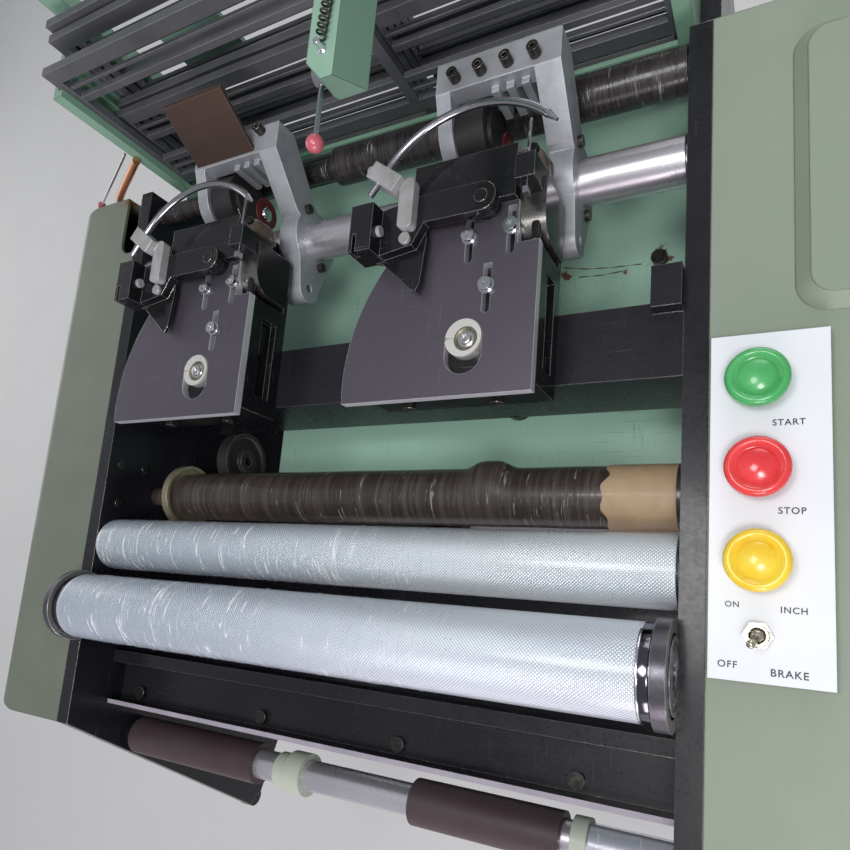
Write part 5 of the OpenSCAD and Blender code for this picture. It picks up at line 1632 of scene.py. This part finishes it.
@dataclass
class Covers:
    """Doors, louvres, latches, hinges and end covers of the casings, and the motor's box and cowl."""

    left_x: float = -400.0
    right_x: float = 463.0
    front_y: float = -147.0
    rear_y: float = 428.0
    louvres: int = 7
    louvre_pitch: float = 16.0
    louvre_ends: tuple[float, float] = (30.0, 250.0)

    def _door(self, side: str, x: float, out: float, finish: Finishes) -> None:
        """Door on a casing's outer side: raised sheet, latch, two hinges and louvres.

        Args:
            side: Name of the side.
            x: The casing's outer face.
            out: 1 where the face points to +X, -1 where it points to -X.
            finish: The casing's finish.
        """
        sheet = plate(
            f"door_{side}", rectangle(-95.0, -770.0, 376.0, -110.0, 22.0), x - 0.4 * out, x + 2.2 * out, 1.0,
            axis="x"
        )
        ride(sheet, "frame", finish)
        face = x + 2.1 * out
        y0, y1 = self.louvre_ends
        for k in range(self.louvres):
            z = -700.0 + self.louvre_pitch * k
            path = [
                (face, z), (face + 2.6 * out, z + 1.0), (face + 3.4 * out, z + 3.2),
                (face + 2.2 * out, z + 6.2), (face, z + 8.2)
            ]
            line = np.array(path)
            y = np.linspace(y0, y1, 24)[:, None]
            b = np.clip(np.minimum(y - y0, y1 - y) / 10.0, 0.0, 1.0) ** 0.5
            parts = (face + (line[:, 0] - face) * b, y, z + (line[:, 1] - z) * (0.4 + 0.6 * b))
            grid = np.stack(np.broadcast_arrays(*parts), -1)
            louvre = solid_from_grid(f"louvre_{side}_{k + 1}", grid, smooth_deg=50.0)
            ride(louvre, "frame", finish)
        knob = rounded(
            [
                (face - 0.2 * out, 0.0), (face + 5.4 * out, 0.0), (face + 5.4 * out, 6.6),
                (face + 4.0 * out, 8.6), (face + 1.2 * out, 9.0), (face + 1.0 * out, 13.0),
                (face - 0.2 * out, 13.4)
            ],
            0.8
        )
        ride(
            turned(f"door_latch_{side}", knob, (0.0, 338.0, -430.0), sides=48), "frame", Finishes.IRON,
        )
        bar = plate(
            f"latch_slot_{side}", rectangle(336.8, -434.6, 339.2, -425.4, 1.0), face + 5.2 * out,
            face + 5.9 * out, 0.2, axis="x"
        )
        ride(bar, "frame", Finishes.BRIGHT)
        for k, z in enumerate((-230.0, -650.0)):
            pin = rounded([(z, 0.0), (z, 4.2), (z + 54.0, 4.2), (z + 54.0, 0.0)], 1.4)
            ride(
                turned(f"hinge_{side}_{k + 1}", pin, (x + 1.8 * out, -100.0, 0.0), axis="z", sides=32),
                "frame", Finishes.IRON
            )

    def _end_covers(self) -> None:
        """Blank plates with four screws each on the front and rear ends of the casings."""
        for name, x, y, out, finish in (
            ("rear_cover_left", -349.0, self.rear_y, 1.0, Finishes.SAGE_SHADED_LEFT),
            ("rear_cover_right", 380.0, self.rear_y, 1.0, Finishes.SAGE),
            ("front_cover_left", -349.0, self.front_y, -1.0, Finishes.SAGE_SHADED_LEFT),
            ("front_cover_right", 380.0, self.front_y, -1.0, Finishes.SAGE),
        ):
            half = 30.0 if "left" in name else 50.0
            sheet = plate(
                name, rectangle(x - half, -620.0, x + half, -420.0, 10.0), y - 0.4 * out, y + 1.8 * out, 0.7,
                axis="y"
            )
            ride(sheet, "frame", finish)
            for k, (dx, z) in enumerate(((-1, -610.0), (1, -610.0), (-1, -430.0), (1, -430.0))):
                screw = rounded(
                    [(y + 1.6 * out, 0.0), (y + 3.6 * out, 0.0), (y + 3.2 * out, 2.6), (y + 1.6 * out, 3.6)],
                    0.5
                )
                ride(
                    turned(
                        f"{name}_screw_{k + 1}", screw, (x + dx * (half - 9.0), 0.0, z), axis="y", sides=24
                    ),
                    "frame", Finishes.OILED
                )

    def _motor(self) -> None:
        """Terminal box with its gland and lid screws, and the ribbed cowl's rings."""
        box = plate("terminal_box", rectangle(-92.0, 296.0, -22.0, 364.0, 8.0), -623.0, -588.0, 1.6)
        ride(box, "frame", Finishes.MOTOR)
        lid = plate("terminal_lid", rectangle(-95.0, 293.0, -19.0, 367.0, 9.0), -588.2, -584.0, 1.2)
        ride(lid, "frame", Finishes.MOTOR)
        for k, (x, y) in enumerate(((-88.0, 300.0), (-26.0, 300.0), (-88.0, 360.0), (-26.0, 360.0))):
            screw = rounded([(-584.4, 0.0), (-581.6, 0.0), (-582.0, 3.0), (-584.4, 3.8)], 0.5)
            ride(
                turned(f"lid_screw_{k + 1}", screw, (x, y, 0.0), axis="z", sides=24), "frame", Finishes.OILED,
            )
        gland = rounded(
            [
                (366.0, 0.0), (366.0, 9.0), (372.0, 9.0), (372.0, 7.0), (380.0, 6.4), (380.0, 3.2),
                (374.0, 3.0), (374.0, 0.0)
            ],
            0.8
        )
        ride(
            turned("terminal_gland", gland, (-57.0, -2.0, -606.0), axis="y", sides=32), "frame",
            Finishes.BELT
        )
        cowl = [
            (59.4, 76.0), (59.4, 79.5), (86.0, 79.0), (92.0, 74.0), (92.4, 62.0), (91.0, 60.0), (92.4, 58.0),
            (92.4, 46.0), (91.0, 44.0), (92.4, 42.0), (92.4, 30.0), (91.0, 28.0), (92.4, 26.0), (92.4, 0.0)
        ]
        ride(
            turned("fan_cowl", rounded([(59.4, 0.0)] + cowl, 1.4, 3), (0.0, 330.0, -700.0), sides=72),
            "frame", Finishes.MOTOR
        )

    def build(self) -> None:
        """Make the covers."""
        self._door("left", self.left_x, -1.0, Finishes.SAGE_SHADED_LEFT)
        self._door("right", self.right_x, 1.0, Finishes.SAGE)
        self._end_covers()
        self._motor()


@dataclass
class Studio:
    """Floor, lamps, world and camera."""

    camera_mm: tuple[float, float, float] = (343.0, 0.0, 460.0)
    right: tuple[float, float, float] = (0.8782362, 0.0831957, -0.4709349)
    up: tuple[float, float, float] = (0.0059439, 0.9827765, 0.1847026)
    back: tuple[float, float, float] = (0.4781902, -0.1650117, 0.8626154)
    focal_px: float = 682.21
    centre_px: tuple[float, float] = (416.71, 487.03)
    frame_px: float = 850.0
    sensor_mm: float = 36.0
    floor_half: float = 9.0
    sky: Colour = (0.9, 0.93, 1.0)
    sky_level: float = 0.36

    def _camera(self) -> None:
        """Put the camera at the photograph's viewing angle."""
        data = bpy.data.cameras.new("view")
        data.sensor_width = self.sensor_mm
        data.lens = self.sensor_mm * self.focal_px / self.frame_px
        data.shift_x = (self.frame_px / 2 - self.centre_px[0]) / self.frame_px
        data.shift_y = (self.centre_px[1] - self.frame_px / 2) / self.frame_px
        data.clip_start = 0.02
        data.clip_end = 60.0
        camera = bpy.data.objects.new("view", data)
        bpy.context.scene.collection.objects.link(camera)
        turn = Matrix((self.right, self.up, self.back)).transposed().to_4x4()
        camera.matrix_world = Matrix.Translation(Vector(place(self.camera_mm))) @ turn
        bpy.context.scene.camera = camera

    def _lamp(
        self, name: str, spot: tuple[float, float, float], aim: tuple[float, float, float], size: float,
        watts: float, tint: Colour = (1.0, 1.0, 1.0),
    ) -> None:
        """Add a square area lamp.

        Args:
            name: Name of the lamp.
            spot: Its place in metres.
            aim: Point it faces.
            size: Side in metres.
            watts: Its power.
            tint: Its colour.
        """
        data = bpy.data.lights.new(name, "AREA")
        data.size = size
        data.energy = watts
        data.color = tint
        lamp = bpy.data.objects.new(name, data)
        bpy.context.scene.collection.objects.link(lamp)
        lamp.matrix_world = Matrix.Translation(spot) @ (
            Vector(aim) - Vector(spot)
        ).to_track_quat("-Z", "Y").to_matrix().to_4x4()

    def build(self) -> None:
        """Build the studio."""
        self._camera()
        self._lamp("key", (0.04, -0.05, 2.2), (0.1, 0.02, 0.8), 0.4, 5.5)
        self._lamp("top", (0.55, -0.62, 2.3), (0.15, 0.05, 0.8), 0.4, 9.5)
        self._lamp("front", (0.6, -4.2, 1.6), (0.1, 0.0, 0.8), 1.8, 92.0, (1.0, 0.9, 0.97))
        self._lamp("left", (-3.0, 0.8, 1.3), (0.0, 0.1, 0.5), 1.6, 12.0)
        self._lamp("rear", (0.6, 3.0, 1.7), (0.0, 0.2, 0.6), 1.8, 26.0)
        world = bpy.data.worlds.new("studio")
        world.use_nodes = True
        background = world.node_tree.nodes["Background"]
        background.inputs[0].default_value = (*self.sky, 1.0)
        background.inputs[1].default_value = self.sky_level
        bpy.context.scene.world = world
        bpy.context.scene.view_settings.view_transform = "Standard"
        u = np.linspace(-self.floor_half, self.floor_half, 3)
        xx, yy = np.meshgrid(u, u, indexing="ij")
        mesh = bpy.data.meshes.new("floor")
        pts = np.stack([xx, yy, 0 * xx], -1).reshape(-1, 3)
        mesh.from_pydata(
            pts.tolist(), [],
            [(3 * a + b, 3 * a + b + 3, 3 * a + b + 4, 3 * a + b + 1) for a in range(2) for b in range(2)]
        )
        floor = bpy.data.objects.new("floor", mesh)
        bpy.context.scene.collection.objects.link(floor)
        Finish(
            "studio_floor", (0.72, 0.72, 0.71), (0.7, 0.7, 0.69), rough=0.7, grain=60.0, grain_depth=0.02,
            edge=0.0
        ).on(floor)


def main() -> None:
    """Load the frame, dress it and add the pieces."""
    logging.basicConfig(level=logging.INFO, format="%(name)s: %(message)s")
    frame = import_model()
    Studio().build()
    CadFinishes(frame["nodes"]).build()
    Rollers().build()
    Controls().build()
    Heads().build()
    Fittings().build()
    Covers().build()


if __name__ == "__main__":
    main()
